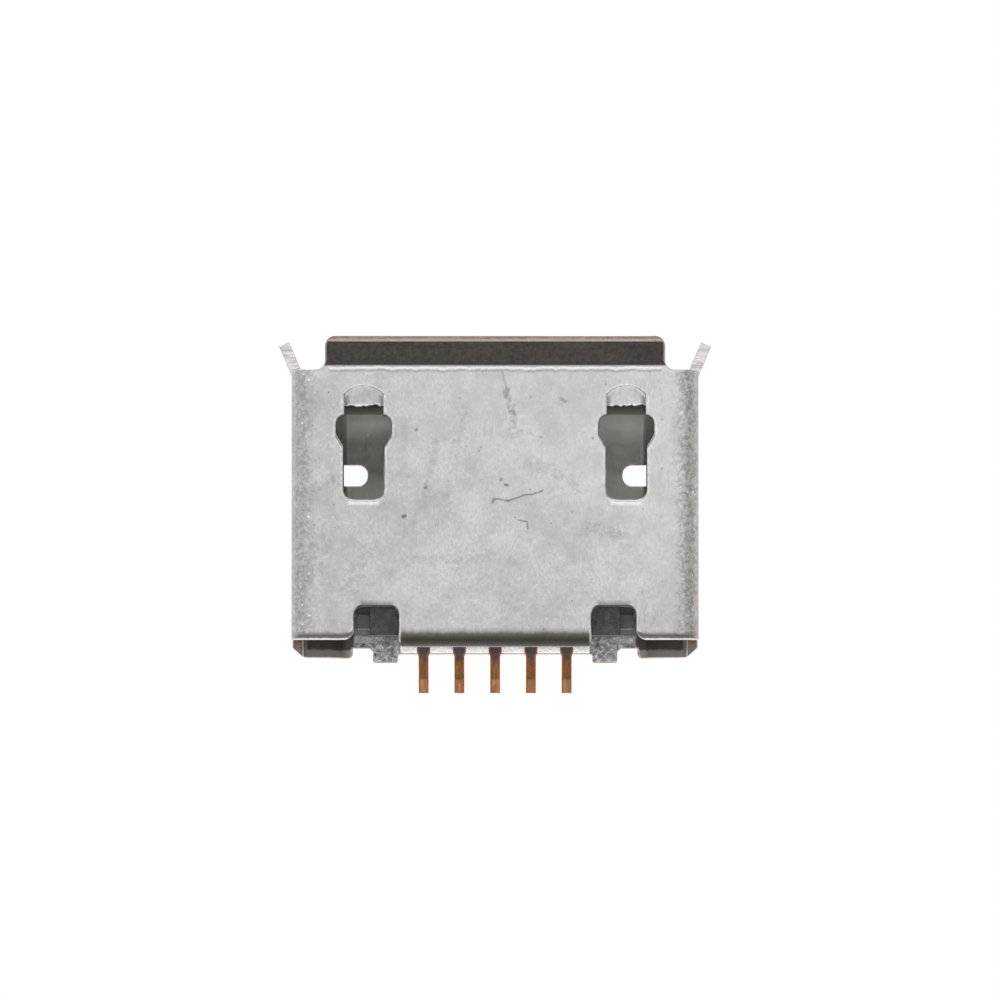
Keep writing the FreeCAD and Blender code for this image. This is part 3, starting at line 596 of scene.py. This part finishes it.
OUTSIDE_PATCHES = tuple(Patch(*row) for row in (
    # The roof's lip, painted dark as shade where it faces away from the light, with a painted highlight on
    # the crease before it and painted shade along the line beside that
    ((-0.1, 2.41, 2.2), (3.2, 3.1, 2.6), (0.05, 0.048, 0.046), 0.99, 0.02, 0.05, 0.04),
    ((-0.1, 2.42, 2.2), (3.16, 2.94, 2.6), (0.34, 0.3, 0.265), 0.42, 0.06, 1.0),
    ((-0.1, 2.35, 2.2), (2.98, 2.385, 2.32), (0.96, 0.96, 0.95), 0.85, 0.01, 0.25, -0.1, 0.03),
    ((-0.1, 2.3, 2.2), (2.98, 2.328, 2.32), (0.27, 0.26, 0.25), 0.75, 0.012, 0.55, 0.0, 0.035),
    # Painted shade on the flap behind the housing, darkest from where the roof starts to turn down
    ((-0.1, -2.9, 0.3), (1.75, -2.5, 1.93), (0.34, 0.325, 0.305), 0.65, 0.05, 0.1, 0.22),
    ((-0.1, -2.9, 1.9), (1.72, -2.335, 2.3), (0.2, 0.19, 0.178), 0.85, 0.06, 0.25, 0.0, 0.03),
    ((-0.1, -2.9, 1.93), (1.75, -2.395, 2.24), (0.08, 0.068, 0.056), 0.95, 0.05, 0.06, 0.1, 0.03),
    # The outermost strip of the bends
    ((3.6, -2.55, 1.86), (3.68, 2.36, 2.08), (0.52, 0.42, 0.33), 0.45, 0.03, 0.8),
    # Painted shade on the roof towards its rear edge, where it rolls over, and over the notches
    ((2.5, -2.6, 2.1), (3.6, -2.37, 2.3), (0.22, 0.21, 0.2), 0.7, 0.04, 0.45, 0.0, 0.05),
    ((1.84, -2.0, 2.2), (2.4, -1.82, 2.3), (0.2, 0.19, 0.18), 0.75, 0.035, 0.3),
    # Painted shade along the latches' sides and torn edges
    ((2.62, 1.62, 2.05), (2.72, 1.86, 2.26), (0.13, 0.125, 0.12), 0.8, 0.035, 0.3),
    ((1.98, 1.62, 2.05), (2.07, 1.86, 2.26), (0.16, 0.155, 0.15), 0.75, 0.035, 0.35),
    # Painted highlights at the ends of each latch window: its rear end and the latch's torn edge
    ((2.08, -0.085, 2.2), (2.62, 0.03, 2.3), (0.98, 0.975, 0.97), 0.75, 0.025, 0.15, -0.08),
    ((2.06, 1.6, 2.05), (2.64, 1.72, 2.24), (0.98, 0.975, 0.97), 0.9, 0.01, 0.3, -0.1, 0.03),
))

RIM_PATCHES = tuple(Patch(*row) for row in (
    ((-0.1, 2.44, 2.15), (3.3, 3.1, 2.6), (0.42, 0.33, 0.27), 0.8, 0.03, 0.3),
    ((-0.1, -3.2, -0.05), (3.4, -2.6, 0.24), COPPER, 0.75, 0.01, 0.35),
    ((3.4, -2.7, -0.1), (3.7, -2.46, 2.12), BROWN, 0.6, 0.03, 0.5),
    # Painted highlight on the rim at the rear end of each latch window
    ((2.02, -0.1, 2.1), (2.68, 0.06, 2.3), (0.98, 0.975, 0.97), 0.85, 0.02, 0.1, -0.08),
    # Painted shade and a thin painted highlight on the roof's rear edge at the corners, painted shade at
    # the notches' upper ends and on the flap's lower edge
    ((2.5, -2.475, 2.05), (3.6, -2.36, 2.3), (0.16, 0.152, 0.142), 0.85, 0.02, 0.3, 0.0, 0.03),
    ((2.5, -2.53, 1.8), (3.62, -2.48, 2.26), (0.97, 0.96, 0.95), 0.85, 0.008, 0.2, -0.08),
    ((1.74, -2.2, 2.0), (2.5, -1.8, 2.3), (0.055, 0.045, 0.04), 0.9, 0.06, 0.1),
    ((-0.1, -2.9, 1.8), (1.76, -2.43, 2.16), (0.055, 0.045, 0.035), 0.92, 0.03, 0.12, 0.1),
))

INSIDE_PATCHES = tuple(Patch(*row) for row in (
    # Painted light and shade in the latch windows: the latch's painted shadow with a bright line at its
    # sharp edge, then lighter, darker and lighter again along the floor, and a lighter tone on the sloping
    # sides
    ((1.6, 1.62, -0.1), (3.2, 2.3, 1.0), (0.055, 0.05, 0.045), 0.92, 0.012),
    ((1.6, 1.6, -0.1), (2.72, 1.622, 1.0), (0.62, 0.61, 0.58), 0.6, 0.006),
    ((1.6, 1.3, -0.1), (2.74, 1.6, 0.5), (0.8, 0.78, 0.74), 0.75, 0.2),
    ((1.6, 0.6, -0.1), (2.74, 1.1, 0.5), (0.27, 0.26, 0.24), 0.5, 0.25),
    ((1.6, -0.3, -0.1), (2.74, 0.3, 0.5), (0.95, 0.92, 0.88), 0.85, 0.3),
    ((2.74, -2.4, -0.1), (3.5, 2.4, 1.0), (0.5, 0.48, 0.46), 0.7, 0.02, 0.15),
    # The ledge under the tails, painted near white as a highlight, and glossier
    ((-0.1, -2.8, 0.1), (1.72, -2.5, 0.26), (0.99, 0.985, 0.955), 1.0, 0.012, 0.0, -0.36),
    # The floor at the rear corners: painted shade, darkest under the roof's edge, with painted highlights
    # along its rear edge and beside the notches
    ((2.57, -2.9, -0.1), (3.5, -2.46, 0.9), (0.42, 0.4, 0.375), 0.8, 0.01, 0.4),
    ((2.57, -2.9, -0.1), (3.5, -2.8, 0.9), (0.97, 0.96, 0.94), 0.9, 0.012, 0.45, -0.15, 0.04),
    ((2.57, -2.66, -0.1), (3.5, -2.3, 0.9), (0.082, 0.066, 0.052), 0.92, 0.02, 0.12, 0.0, 0.03),
    ((2.14, -2.53, -0.1), (2.55, -2.4, 0.4), (0.98, 0.97, 0.96), 0.55, 0.012, 0.6),
))


@dataclass(frozen=True)
class CutFinish(Finish):
    """The bare copper alloy of a stamped edge, smeared with plating."""

    bare: Colour = (0.46, 0.27, 0.18)
    dark: Colour = (0.17, 0.1, 0.07)
    smear: Colour = (0.52, 0.49, 0.46)
    smear_share: float = 0.45
    roughness: float = 0.45
    patches: tuple[Patch, ...] = ()

    def paint(self, board: FinishBoard) -> Look:
        """Wires the look.

        Args:
            board: the material's board.

        Returns:
            The colour, the roughness and the normal.
        """
        place = board.place
        mottle = board.use("mottle", Size=3.0)
        colour = board.blend(mottle, self.bare, self.dark, 0.7)
        smeared = board.step(board.noise(place, 8.0, 4.0, 0.7, 0.8), 0.42, 0.66)
        colour = board.blend(smeared, colour, self.smear, self.smear_share)
        rough = board.ramp(mottle, 0.15, self.roughness)
        blotch = board.step(board.noise(place, 9.0, 3.0, 0.7), 0.36, 0.58)
        colour, rough = lay_patches(board, (colour, rough), self.patches, blotch)
        drag = board.use("scratches", Turn=1.52, Reach=2.0, Lines=20.0, Share=0.36)
        colour = board.blend(drag, colour, self.dark, 0.16)
        grain = board.use("grain", Lines=34.0, Depth=0.002, Extra=board.times(drag, -1.5))
        return colour, rough, grain


CUT_PATCHES = tuple(Patch(*row) for row in (
    # The upper ends of the ears, grey with a brown tip
    ((3.4, 2.2, 1.2), (4.0, 2.84, 2.2), (0.88, 0.855, 0.835), 1.0, 0.02, 0.06, -0.16),
    ((3.4, 2.86, 1.2), (4.0, 3.0, 2.2), (0.62, 0.5, 0.42), 0.75, 0.03, 0.2),
    # Painted shade on the latches' torn edges
    ((1.7, 1.5, 1.8), (3.0, 1.76, 2.2), (0.1, 0.09, 0.08), 0.8, 0.02),
    # The slanted ends at the rear corners, brown above with a painted highlight below, and painted shade on
    # the flap's lower edge
    ((2.6, -3.0, -0.1), (3.7, -2.46, 1.95), (0.26, 0.24, 0.215), 0.9, 0.03, 0.25),
    ((3.4, -2.575, 0.3), (3.7, -2.46, 2.0), (0.34, 0.2, 0.12), 0.85, 0.02, 0.2),
    ((3.0, -3.0, -0.1), (3.7, -2.665, 1.2), (0.98, 0.97, 0.96), 0.9, 0.03, 0.35, -0.18),
    ((-0.1, -2.9, 1.8), (1.76, -2.43, 2.2), (0.07, 0.058, 0.047), 0.92, 0.03, 0.2),
))


@dataclass(frozen=True)
class PlasticFinish(Finish):
    """Black moulded plastic with glass fibres near its surface."""

    body: Colour = (0.024, 0.024, 0.026)
    pale: Colour = (0.17, 0.168, 0.172)
    roughness: float = 0.46
    metallic: float = 0.0

    def paint(self, board: FinishBoard) -> Look:
        """Wires the look.

        Args:
            board: the material's board.

        Returns:
            The colour, the roughness and the normal.
        """
        place = board.place
        mottle = board.use("mottle", Size=2.0)
        fibres = board.use("scratches", Turn=0.7, Reach=3.0, Lines=26.0, Share=0.4)
        dust = board.use("specks", Cells=12.0, Width=0.1, Share=0.2)
        colour = board.blend(mottle, self.body, self.pale, 0.6)
        colour = board.blend(fibres, colour, self.pale, 0.45)
        colour = board.blend(dust, colour, (0.2, 0.2, 0.2), 0.5)
        crumbs = board.step(board.noise(place, 11.0, 4.0, 0.7, 0.4), 0.38, 0.62)
        colour = board.blend(crumbs, colour, self.pale, 0.62)
        outer = board.use("box", Low=(2.25, -2.6, 0.0), High=(3.5, -1.8, 2.1), Soft=0.01)
        colour = board.blend(outer, colour, (0.34, 0.335, 0.34), 0.6)
        grain = board.use("grain", Lines=30.0, Depth=0.004, Extra=board.times(fibres, 0.8))
        return colour, board.ramp(mottle, 0.16, self.roughness - 0.08), grain


@dataclass(frozen=True)
class StripFinish(Finish):
    """Copper alloy strip: gold where it lies flat, brown on the slope of the tail, grey at its root."""

    gold: Colour = (0.32, 0.153, 0.082)
    brown: Colour = (0.51, 0.24, 0.095)
    root: Colour = (0.115, 0.1, 0.1)
    streak: Colour = (0.66, 0.39, 0.2)
    roughness: float = 0.36

    def paint(self, board: FinishBoard) -> Look:
        """Wires the look.

        Args:
            board: the material's board.

        Returns:
            The colour, the roughness and the normal.
        """
        place = board.place
        along = board.parts(place)[1]
        mottle = board.use("mottle", Size=2.4)
        wander = board.ramp(board.noise(place, 6.0, 2.0, 0.6), 0.16, along)
        tail = board.step(wander, -2.68, -2.84)
        foot = board.step(wander, -3.04, -3.34)
        colour = board.blend(mottle, self.gold, self.brown, 0.25)
        root = board.times(board.step(along, -2.0, -2.2), board.math("SUBTRACT", 1.0, tail))
        colour = board.blend(root, colour, self.root)
        colour = board.blend(board.times(tail, board.math("SUBTRACT", 1.0, foot)), colour,
                             board.blend(mottle, self.brown, (0.28, 0.13, 0.052)))
        drawn = board.noise(board.vector("MULTIPLY", place, (17.0, 2.2, 2.2)), 1.0, 2.0, 0.6)
        drawn = board.times(board.step(drawn, 0.46, 0.66), tail)
        colour = board.blend(drawn, colour, self.streak, 0.55)
        grain = board.use("grain", Lines=24.0, Depth=0.0015, Extra=0.0)
        return colour, board.ramp(mottle, 0.18, self.roughness - 0.06), grain


# Bench work, in millimetres


WELD = 1e-4
SHEET_SLACK = 0.03
LEVEL_SLACK = 0.01
LINE_SLACK = 0.005
PROBE = 0.001
TUCK = 0.004
FLAT_ANGLE = math.radians(0.6)
SURFACE_ANGLE = math.radians(30)
SHARP_ANGLE = math.radians(38)
SMOOTH_ANGLE = math.radians(42)
FACE_WEIGHT = 80


class Bench:
    """One piece being worked, with its mesh in millimetres until it is finished."""

    def __init__(self, name: str, node: str) -> None:
        """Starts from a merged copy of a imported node.

        Args:
            name: the new piece's name.
            node: the node that it is worked from.
        """
        self.piece = bpy.data.objects.new(name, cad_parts[node].data.copy())
        bpy.context.scene.collection.objects.link(self.piece)
        self.piece.data.name = name
        self.piece.data.materials.clear()
        self.piece.data.transform(Matrix.Scale(1 / MM, 4))
        self._take()
        bpy.ops.mesh.customdata_custom_splitnormals_clear()
        self._edit("VERT", "SELECT")
        bpy.ops.mesh.remove_doubles(threshold=WELD)
        self._leave()

    def _take(self) -> None:
        """Makes this piece the only selected one."""
        bpy.ops.object.select_all(action="DESELECT")
        self.piece.select_set(True)
        bpy.context.view_layer.objects.active = self.piece

    def _edit(self, kind: str, action: str = "DESELECT") -> bmesh.types.BMesh:
        """Goes into edit mode.

        Args:
            kind: VERT, EDGE or FACE.
            action: SELECT or DESELECT, for the whole mesh.

        Returns:
            The mesh being edited.
        """
        bpy.ops.object.mode_set(mode="EDIT")
        bpy.ops.mesh.select_mode(type=kind)
        bpy.ops.mesh.select_all(action=action)
        return bmesh.from_edit_mesh(self.piece.data)

    def _leave(self) -> None:
        """Takes up what was edited and goes back to object mode."""
        bmesh.update_edit_mesh(self.piece.data)
        bpy.ops.object.mode_set(mode="OBJECT")

    def _modify(self, kind: str, **settings: object) -> None:
        """Adds a modifier and applies it.

        Args:
            kind: the modifier's type.
            settings: properties to set on it.
        """
        self._take()
        modifier = self.piece.modifiers.new(kind, kind)
        for name, value in settings.items():
            setattr(modifier, name, value)
        bpy.ops.object.modifier_apply(modifier=modifier.name)

    def _surface(self) -> BVHTree:
        """A search tree of the piece's present surface."""
        mesh = self.piece.data
        return BVHTree.FromPolygons([vertex.co.copy() for vertex in mesh.vertices],
                                    [tuple(face.vertices) for face in mesh.polygons])

    def dress(self, *materials: Material) -> None:
        """Gives the piece its material slots, one for each layer."""
        for material in materials:
            self.piece.data.materials.append(material)

    def sort_faces(self, thickness: float, room: tuple[Point, Point] | None = None) -> None:
        """Tells the faces of a sheet from its cut edges by the metal behind them.

        Faces that meet at less than SURFACE_ANGLE are judged together, as one surface.

        Args:
            thickness: the sheet's thickness.
            room: lowest and highest corner of the room that the sheet encloses, where it does.
        """
        mesh = self.piece.data
        work = bmesh.new()
        work.from_mesh(mesh)
        work.faces.ensure_lookup_table()
        tree = BVHTree.FromBMesh(work)
        waiting = set(range(len(work.faces)))
        while waiting:
            surface = [waiting.pop()]
            for index in surface:
                for edge in work.faces[index].edges:
                    if edge.calc_face_angle(math.pi) < SURFACE_ANGLE:
                        near = {face.index for face in edge.link_faces} & waiting
                        waiting -= near
                        surface.extend(near)
            vote = 0.0
            for index in surface:
                face = work.faces[index]
                centre = face.calc_center_median()
                distance = tree.ray_cast(centre - face.normal * PROBE, -face.normal)[3]
                sheet = distance is not None and abs(distance - thickness) < SHEET_SLACK
                vote += face.calc_area() if sheet else -face.calc_area()
            for index in surface:
                mesh.polygons[index].material_index = Layer.FACE if vote > 0 else Layer.CUT
        if room:
            low, high = Vector(room[0]), Vector(room[1])
            for face in mesh.polygons:
                within = all(a < value < b for a, value, b in zip(low, face.center, high))
                inward = face.normal.dot((low + high) / 2 - face.center) > 0
                if face.material_index == Layer.FACE and within and inward:
                    face.material_index = Layer.INSIDE
        work.free()

    def move_points(self, low: Point, high: Point, shift: Point) -> None:
        """Moves the points inside a box.

        Args:
            low: the box's lowest corner.
            high: its highest corner.
            shift: how far they move.
        """
        work = self._edit("VERT")
        for vertex in work.verts:
            vertex.select_set(all(a < value < b for a, value, b in zip(low, vertex.co, high)))
        bmesh.update_edit_mesh(self.piece.data)
        bpy.ops.transform.translate(value=shift)
        self._leave()

    def join_flats(self) -> None:
        """Joins the triangles of every flat face."""
        self._edit("FACE", "SELECT")
        bpy.ops.mesh.dissolve_limited(angle_limit=FLAT_ANGLE, delimit={"MATERIAL"})
        self._leave()

    def roughen_edges(self, test: Callable[[Edge], bool], cuts: int, depth: float, seed: int) -> None:
        """Divides some edges and pushes their new points about along Y, as on a torn edge.

        Args:
            test: says which edges.
            cuts: new points on each edge.
            depth: how far they move at most.
            seed: seed of the random moves.
        """
        work = self._edit("EDGE")
        for edge in work.edges:
            edge.select_set(test(edge))
        ends = {vertex.index for edge in work.edges if edge.select for vertex in edge.verts}
        bmesh.update_edit_mesh(self.piece.data)
        bpy.ops.mesh.subdivide(number_cuts=cuts, quadcorner="INNERVERT", ngon=True)
        work = bmesh.from_edit_mesh(self.piece.data)
        draw = random.Random(seed)
        moved = sorted((vertex for vertex in work.verts if vertex.select and vertex.index not in ends),
                       key=lambda vertex: (round(vertex.co.x, 4), round(vertex.co.z, 4)))
        shifts = {}
        for vertex in moved:
            key = round(vertex.co.x, 3)
            shifts.setdefault(key, draw.uniform(-depth, depth))
            vertex.co.y += shifts[key]
        self._leave()

    def roll_edges(self, rule: Callable[[Edge], float], segments: int) -> None:
        """Rounds sharp outer edges, each by its own width, and tucks in what would stand out.

        Args:
            rule: gives an edge's width in millimetres.
            segments: steps in each rounding.
        """
        before = self._surface()
        work = self._edit("EDGE")
        layers = work.edges.layers.float
        weight = layers.get("bevel_weight_edge") or layers.new("bevel_weight_edge")
        widths = {}
        sheet = len(self.piece.data.materials) > 1
        for edge in work.edges:
            cuts = sum(face.material_index == Layer.CUT for face in edge.link_faces)
            if edge.is_convex and edge.calc_face_angle(0.0) > SHARP_ANGLE and (cuts == 1 or not sheet):
                widths[edge] = rule(edge)
        widest = max(widths.values())
        for edge, width in widths.items():
            edge[weight] = width / widest
        self._leave()
        rim = Layer.RIM if sheet else -1
        self._modify("BEVEL", limit_method="WEIGHT", offset_type="OFFSET", width=widest, segments=segments,
                     loop_slide=False, use_clamp_overlap=False, material=rim)
        for vertex in self.piece.data.vertices:
            foot, normal = before.find_nearest(vertex.co)[:2]
            if (vertex.co - foot).dot(normal) > TUCK:
                vertex.co = foot

    def finish(self, slot: str, *nodes: str) -> bpy.types.Object:
        """Smooths the piece, brings it back to metres and puts it in the nodes' place.

        Args:
            slot: the record's material slot; not used.
            nodes: the nodes that it stands for.

        Returns:
            The finished piece.
        """
        self._take()
        bpy.ops.object.shade_smooth_by_angle(angle=SMOOTH_ANGLE)
        self._modify("WEIGHTED_NORMAL", keep_sharp=True, weight=FACE_WEIGHT)
        self.piece.data.transform(Matrix.Scale(MM, 4))
        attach(self.piece, "root")
        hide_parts(*nodes)
        LOG.info("%s: %d faces", self.piece.name, len(self.piece.data.polygons))
        return self.piece


# Sub-assemblies


@dataclass
class ShellSheet:
    """The folded sheet. Lengths are in millimetres."""

    thickness: float = 0.2
    roof_top: float = ROOF_TOP
    latch_edge: float = 1.69
    latch_top: float = 2.04
    ramp_slope: float = 0.2
    room: tuple[Point, Point] = ((-3.47, -2.56, 0.15), (3.47, 2.38, 2.07))
    segments: int = 6
    corner_roll: float = 0.13
    window_roll: float = 0.055
    edge_roll: float = 0.018
    lip_roll: float = 0.034
    notch_roll: float = 0.04
    least_roll: float = 0.008
    roof_slack: float = 0.012
    roof_front: float = 2.2
    lip_start: float = 2.44
    latch_slack: float = 0.02
    latch_low: float = 1.8
    latch_length: float = 0.3
    torn_cuts: int = 13
    torn_depth: float = 0.024
    torn_seed: int = 7
    notch_front: float = -1.8
    flap_side: float = 1.74
    flap_rear: float = -2.63
    flap_low: float = 0.4
    flap_bend: tuple[float, float] = (-2.33, 1.97)
    flap_outside: float = 0.18
    corner_start: float = -2.28
    corner_full: float = -2.5
    corner_end: float = 1.9
    notch_side: float = 2.5
    groups: PatternGroups = field(default_factory=PatternGroups)

    def roll_width(self, edge: Edge) -> float:
        """How far an edge of the sheet is rolled over.

        Args:
            edge: the edge.

        Returns:
            The width in millimetres.
        """
        middle = (edge.verts[0].co + edge.verts[1].co) / 2
        on_roof = all(vertex.co.z > self.roof_top - self.roof_slack for vertex in edge.verts)
        width = self.window_roll if on_roof and middle.y < self.roof_front else self.edge_roll
        if on_roof and middle.y < self.notch_front or self.is_flap_edge(middle):
            width = self.notch_roll
        if middle.y > self.lip_start and middle.z > self.roof_top:
            width = self.lip_roll
        if on_roof and self.latch_edge - self.latch_slack < middle.y < self.roof_front:
            width = max(self.least_roll, self.ramp_slope * (self.latch_top - middle.y))
        if middle.y < self.corner_start and abs(middle.x) > self.notch_side and middle.z > self.corner_end:
            near = min(1.0, (self.corner_start - middle.y) / (self.corner_start - self.corner_full))
            near *= min(1.0, (middle.z - self.corner_end) / (self.roof_top - self.corner_end))
            width += (self.corner_roll - width) * near * near
        return width

    def is_flap_edge(self, middle: Vector) -> bool:
        """Whether a point lies on the outer side of the flap, from the start of its bend to its end.

        Args:
            middle: an edge's middle.

        Returns:
            True there.
        """
        bend_y, bend_z = self.flap_bend
        reach = math.hypot(middle.y - bend_y, max(0.0, middle.z - bend_z))
        return (abs(middle.x) < self.flap_side and self.flap_rear < middle.y < bend_y
                and middle.z > self.flap_low and reach > self.flap_outside)

    def is_latch_edge(self, edge: Edge) -> bool:
        """Whether an edge is the free edge of a latch ramp.

        Args:
            edge: the edge.

        Returns:
            True for the two long edges at each ramp's end.
        """
        first, second = (vertex.co for vertex in edge.verts)
        across = abs(first.z - second.z) < LEVEL_SLACK and abs(first.y - second.y) < LINE_SLACK
        return (across and abs(first.x - second.x) > self.latch_length and first.z > self.latch_low
                and abs(first.y - self.latch_edge) < self.latch_slack)

    def build(self) -> bpy.types.Object:
        """Makes and dresses the shell.

        Returns:
            The piece.
        """
        bench = Bench("shell_sheet", "shell")
        finishes = (
            PlatedFinish("plated sheet", marks=ROOF_MARKS, creases=LATCH_CREASE_LIGHT_AND_SHADE, patches=OUTSIDE_PATCHES),
            CutFinish("cut edge", patches=CUT_PATCHES),
            PlatedFinish("rolled rim", rim=0.75, roughness=0.3, patches=RIM_PATCHES),
            # The inside is the same plating painted darker, as painted shade
            PlatedFinish("inside of the sheet", roughness=0.5, light=(0.4, 0.39, 0.36),
                         shade=(0.29, 0.28, 0.255), dull=(0.15, 0.14, 0.12), patches=INSIDE_PATCHES))
        bench.dress(*(finish.build(self.groups) for finish in finishes))
        bench.sort_faces(self.thickness, self.room)
        bench.join_flats()
        bench.roughen_edges(self.is_latch_edge, self.torn_cuts, self.torn_depth, self.torn_seed)
        bench.roll_edges(self.roll_width, self.segments)
        return bench.finish("plated_sheet", "shell")


@dataclass
class Housing:
    """The moulded insulator. Lengths are in millimetres."""

    segments: int = 2
    edge_roll: float = 0.022
    # Pockets made shallower and blocks made wider, on both sides: the points in a box move by a shift
    moves: tuple[tuple[Point, Point, Point], ...] = (
        ((2.2, -2.04, 1.1), (2.51, -1.9, 1.16), (0.0, 0.0, 0.52)),
        ((-2.51, -2.04, 1.1), (-2.2, -1.9, 1.16), (0.0, 0.0, 0.52)),
        ((1.74, -2.44, -0.1), (1.76, -2.13, 2.05), (-0.045, 0.0, 0.0)),
        ((-1.76, -2.44, -0.1), (-1.74, -2.13, 2.05), (0.045, 0.0, 0.0)),
    )
    groups: PatternGroups = field(default_factory=PatternGroups)

    def build(self) -> bpy.types.Object:
        """Makes and dresses the housing.

        Returns:
            The piece.
        """
        bench = Bench("housing_moulding", "housing")
        bench.dress(PlasticFinish("black plastic").build(self.groups))
        for low, high, shift in self.moves:
            bench.move_points(low, high, shift)
        bench.join_flats()
        bench.roll_edges(lambda edge: self.edge_roll, self.segments)
        return bench.finish("black_plastic", "housing")


@dataclass
class ContactRow:
    """The five contact strips. Lengths are in millimetres."""

    lines: tuple[str, ...] = ("contact_1_power", "contact_2_data_minus", "contact_3_data_plus",
                              "contact_4_id", "contact_5_ground")
    segments: int = 2
    thickness: float = 0.12
    tail_start: float = -2.7
    tail_roll: float = 0.028
    edge_roll: float = 0.014
    groups: PatternGroups = field(default_factory=PatternGroups)

    def roll_width(self, edge: Edge) -> float:
        """How far an edge of a strip is rounded, in millimetres."""
        tail = all(vertex.co.y < self.tail_start for vertex in edge.verts)
        return self.tail_roll if tail else self.edge_roll

    def build(self) -> list[bpy.types.Object]:
        """Makes and dresses the strips.

        Returns:
            The pieces.
        """
        face = StripFinish("contact strip").build(self.groups)
        side = CutFinish("contact side", bare=(0.62, 0.22, 0.07), dark=(0.3, 0.09, 0.03),
                         smear_share=0.0, roughness=0.36).build(self.groups)
        pieces = []
        for line in self.lines:
            bench = Bench(line + "_strip", line)
            bench.dress(face, side, side)
            bench.sort_faces(self.thickness)
            bench.join_flats()
            bench.roll_edges(self.roll_width, self.segments)
            pieces.append(bench.finish("contact_metal", line))
        return pieces


# Studio


@dataclass(frozen=True)
class Softbox:
    """One soft light, aimed at the socket. Lengths are in metres."""

    name: str
    place: Point
    width: float
    height: float
    level: float

    def hang(self, aim: Vector) -> None:
        """Puts the light up.

        Args:
            aim: the point that it faces.
        """
        data = bpy.data.lights.new(self.name, "AREA")
        data.shape = "RECTANGLE"
        data.size, data.size_y = self.width, self.height
        data.energy = self.level * math.pi * self.width * self.height
        lamp = bpy.data.objects.new(self.name, data)
        bpy.context.scene.collection.objects.link(lamp)
        lamp.location = self.place
        lamp.rotation_euler = (aim - Vector(self.place)).to_track_quat("-Z", "Y").to_euler()


@dataclass
class Studio:
    """The pale floor, the soft lights and the camera. Lengths are in metres."""

    floor_height: float = -0.55 * MM
    floor_side: float = 1.2
    floor_grey: Colour = (0.86, 0.86, 0.86)
    floor_roughness: float = 0.9
    floor_glow: float = 1.1
    glow_share: float = 0.86
    distance: float = 120.75 * MM
    tilt: float = math.radians(2.0)
    aim: Point = (0.0886 * MM, 0.0, 2.25 * MM)
    lens: float = 243.0
    sensor: float = 36.0
    room_level: float = 0.28
    gloss_level: float = 0.42
    boxes: tuple[Softbox, ...] = (
        Softbox("overhead box", (0.0, -0.01, 0.17), 0.19, 0.16, 0.6),
        Softbox("left box", (-0.15, 0.0, 0.09), 0.11, 0.16, 0.55),
        Softbox("right box", (0.15, 0.0, 0.09), 0.11, 0.16, 0.35),
        Softbox("mouth box", (0.0, 0.16, 0.08), 0.16, 0.1, 0.6),
    )

    def lay_floor(self) -> None:
        """Makes the floor: white to the eye, with the socket's faint shadow on it."""
        bpy.ops.object.select_all(action="DESELECT")
        bpy.ops.mesh.primitive_plane_add(size=self.floor_side, location=(0.0, 0.0, self.floor_height))
        floor = bpy.context.active_object
        floor.name = "studio_floor"
        bpy.ops.object.transform_apply(location=True, rotation=True, scale=True)
        material, tree = open_material("studio floor")
        board = NodeBoard(tree)
        matte = board.add("ShaderNodeBsdfPrincipled", {
            "Base Color": self.floor_grey, "Roughness": self.floor_roughness})
        glow = board.add("ShaderNodeEmission", {"Strength": self.floor_glow})
        rays = board.add("ShaderNodeLightPath").outputs
        seen = board.math("ADD", rays["Is Camera Ray"], rays["Is Glossy Ray"], clamp=True)
        seen = board.math("ADD", seen, rays["Is Transmission Ray"], clamp=True)
        mix = board.add("ShaderNodeMixShader", {
            0: board.times(seen, self.glow_share), 1: matte.outputs["BSDF"], 2: glow.outputs["Emission"]})
        board.add("ShaderNodeOutputMaterial", {"Surface": mix.outputs["Shader"]})
        floor.data.materials.append(material)

    def hang_lights(self) -> None:
        """Puts up the softboxes and a grey room, brighter in reflections and white to the eye."""
        for box in self.boxes:
            box.hang(Vector((0.0, 0.0, MM)))
        world = bpy.data.worlds.new("studio room")
        bpy.context.scene.world = world
        world.use_nodes = True
        world.node_tree.nodes.clear()
        board = NodeBoard(world.node_tree)
        rays = board.add("ShaderNodeLightPath").outputs
        seen = board.math("ADD", rays["Is Camera Ray"], rays["Is Transmission Ray"], clamp=True)
        level = board.ramp(rays["Is Glossy Ray"], self.gloss_level - self.room_level, self.room_level)
        room = board.add("ShaderNodeBackground", {
            "Strength": board.math("MAXIMUM", seen, level), "Color": (1.0, 1.0, 1.0)})
        board.add("ShaderNodeOutputWorld", {"Surface": room.outputs["Background"]})

    def set_camera(self) -> None:
        """Places the camera over the roof, leaning a little towards the tails."""
        data = bpy.data.cameras.new("camera")
        data.lens, data.sensor_width = self.lens, self.sensor
        data.clip_start, data.clip_end = 0.001, 10.0
        camera = bpy.data.objects.new("camera", data)
        bpy.context.scene.collection.objects.link(camera)
        back = Vector((0.0, -math.sin(self.tilt), math.cos(self.tilt)))
        camera.location = Vector(self.aim) + back * self.distance
        camera.rotation_euler = (self.tilt, 0.0, 0.0)
        bpy.context.scene.camera = camera

    def build(self) -> None:
        """Sets up the whole studio."""
        self.lay_floor()
        self.hang_lights()
        self.set_camera()
        bpy.context.scene.view_settings.view_transform = "Standard"


def main() -> None:
    """Builds the socket's pieces in order, then the studio."""
    logging.basicConfig(level=logging.INFO, format="%(name)s: %(message)s")
    groups = PatternGroups()
    shell = ShellSheet(groups=groups).build()
    housing = Housing(groups=groups).build()
    strips = ContactRow(groups=groups).build()
    Studio().build()
    LOG.info("pieces: %s", ", ".join(piece.name for piece in [shell, housing, *strips]))


if __name__ == "__main__":
    main()
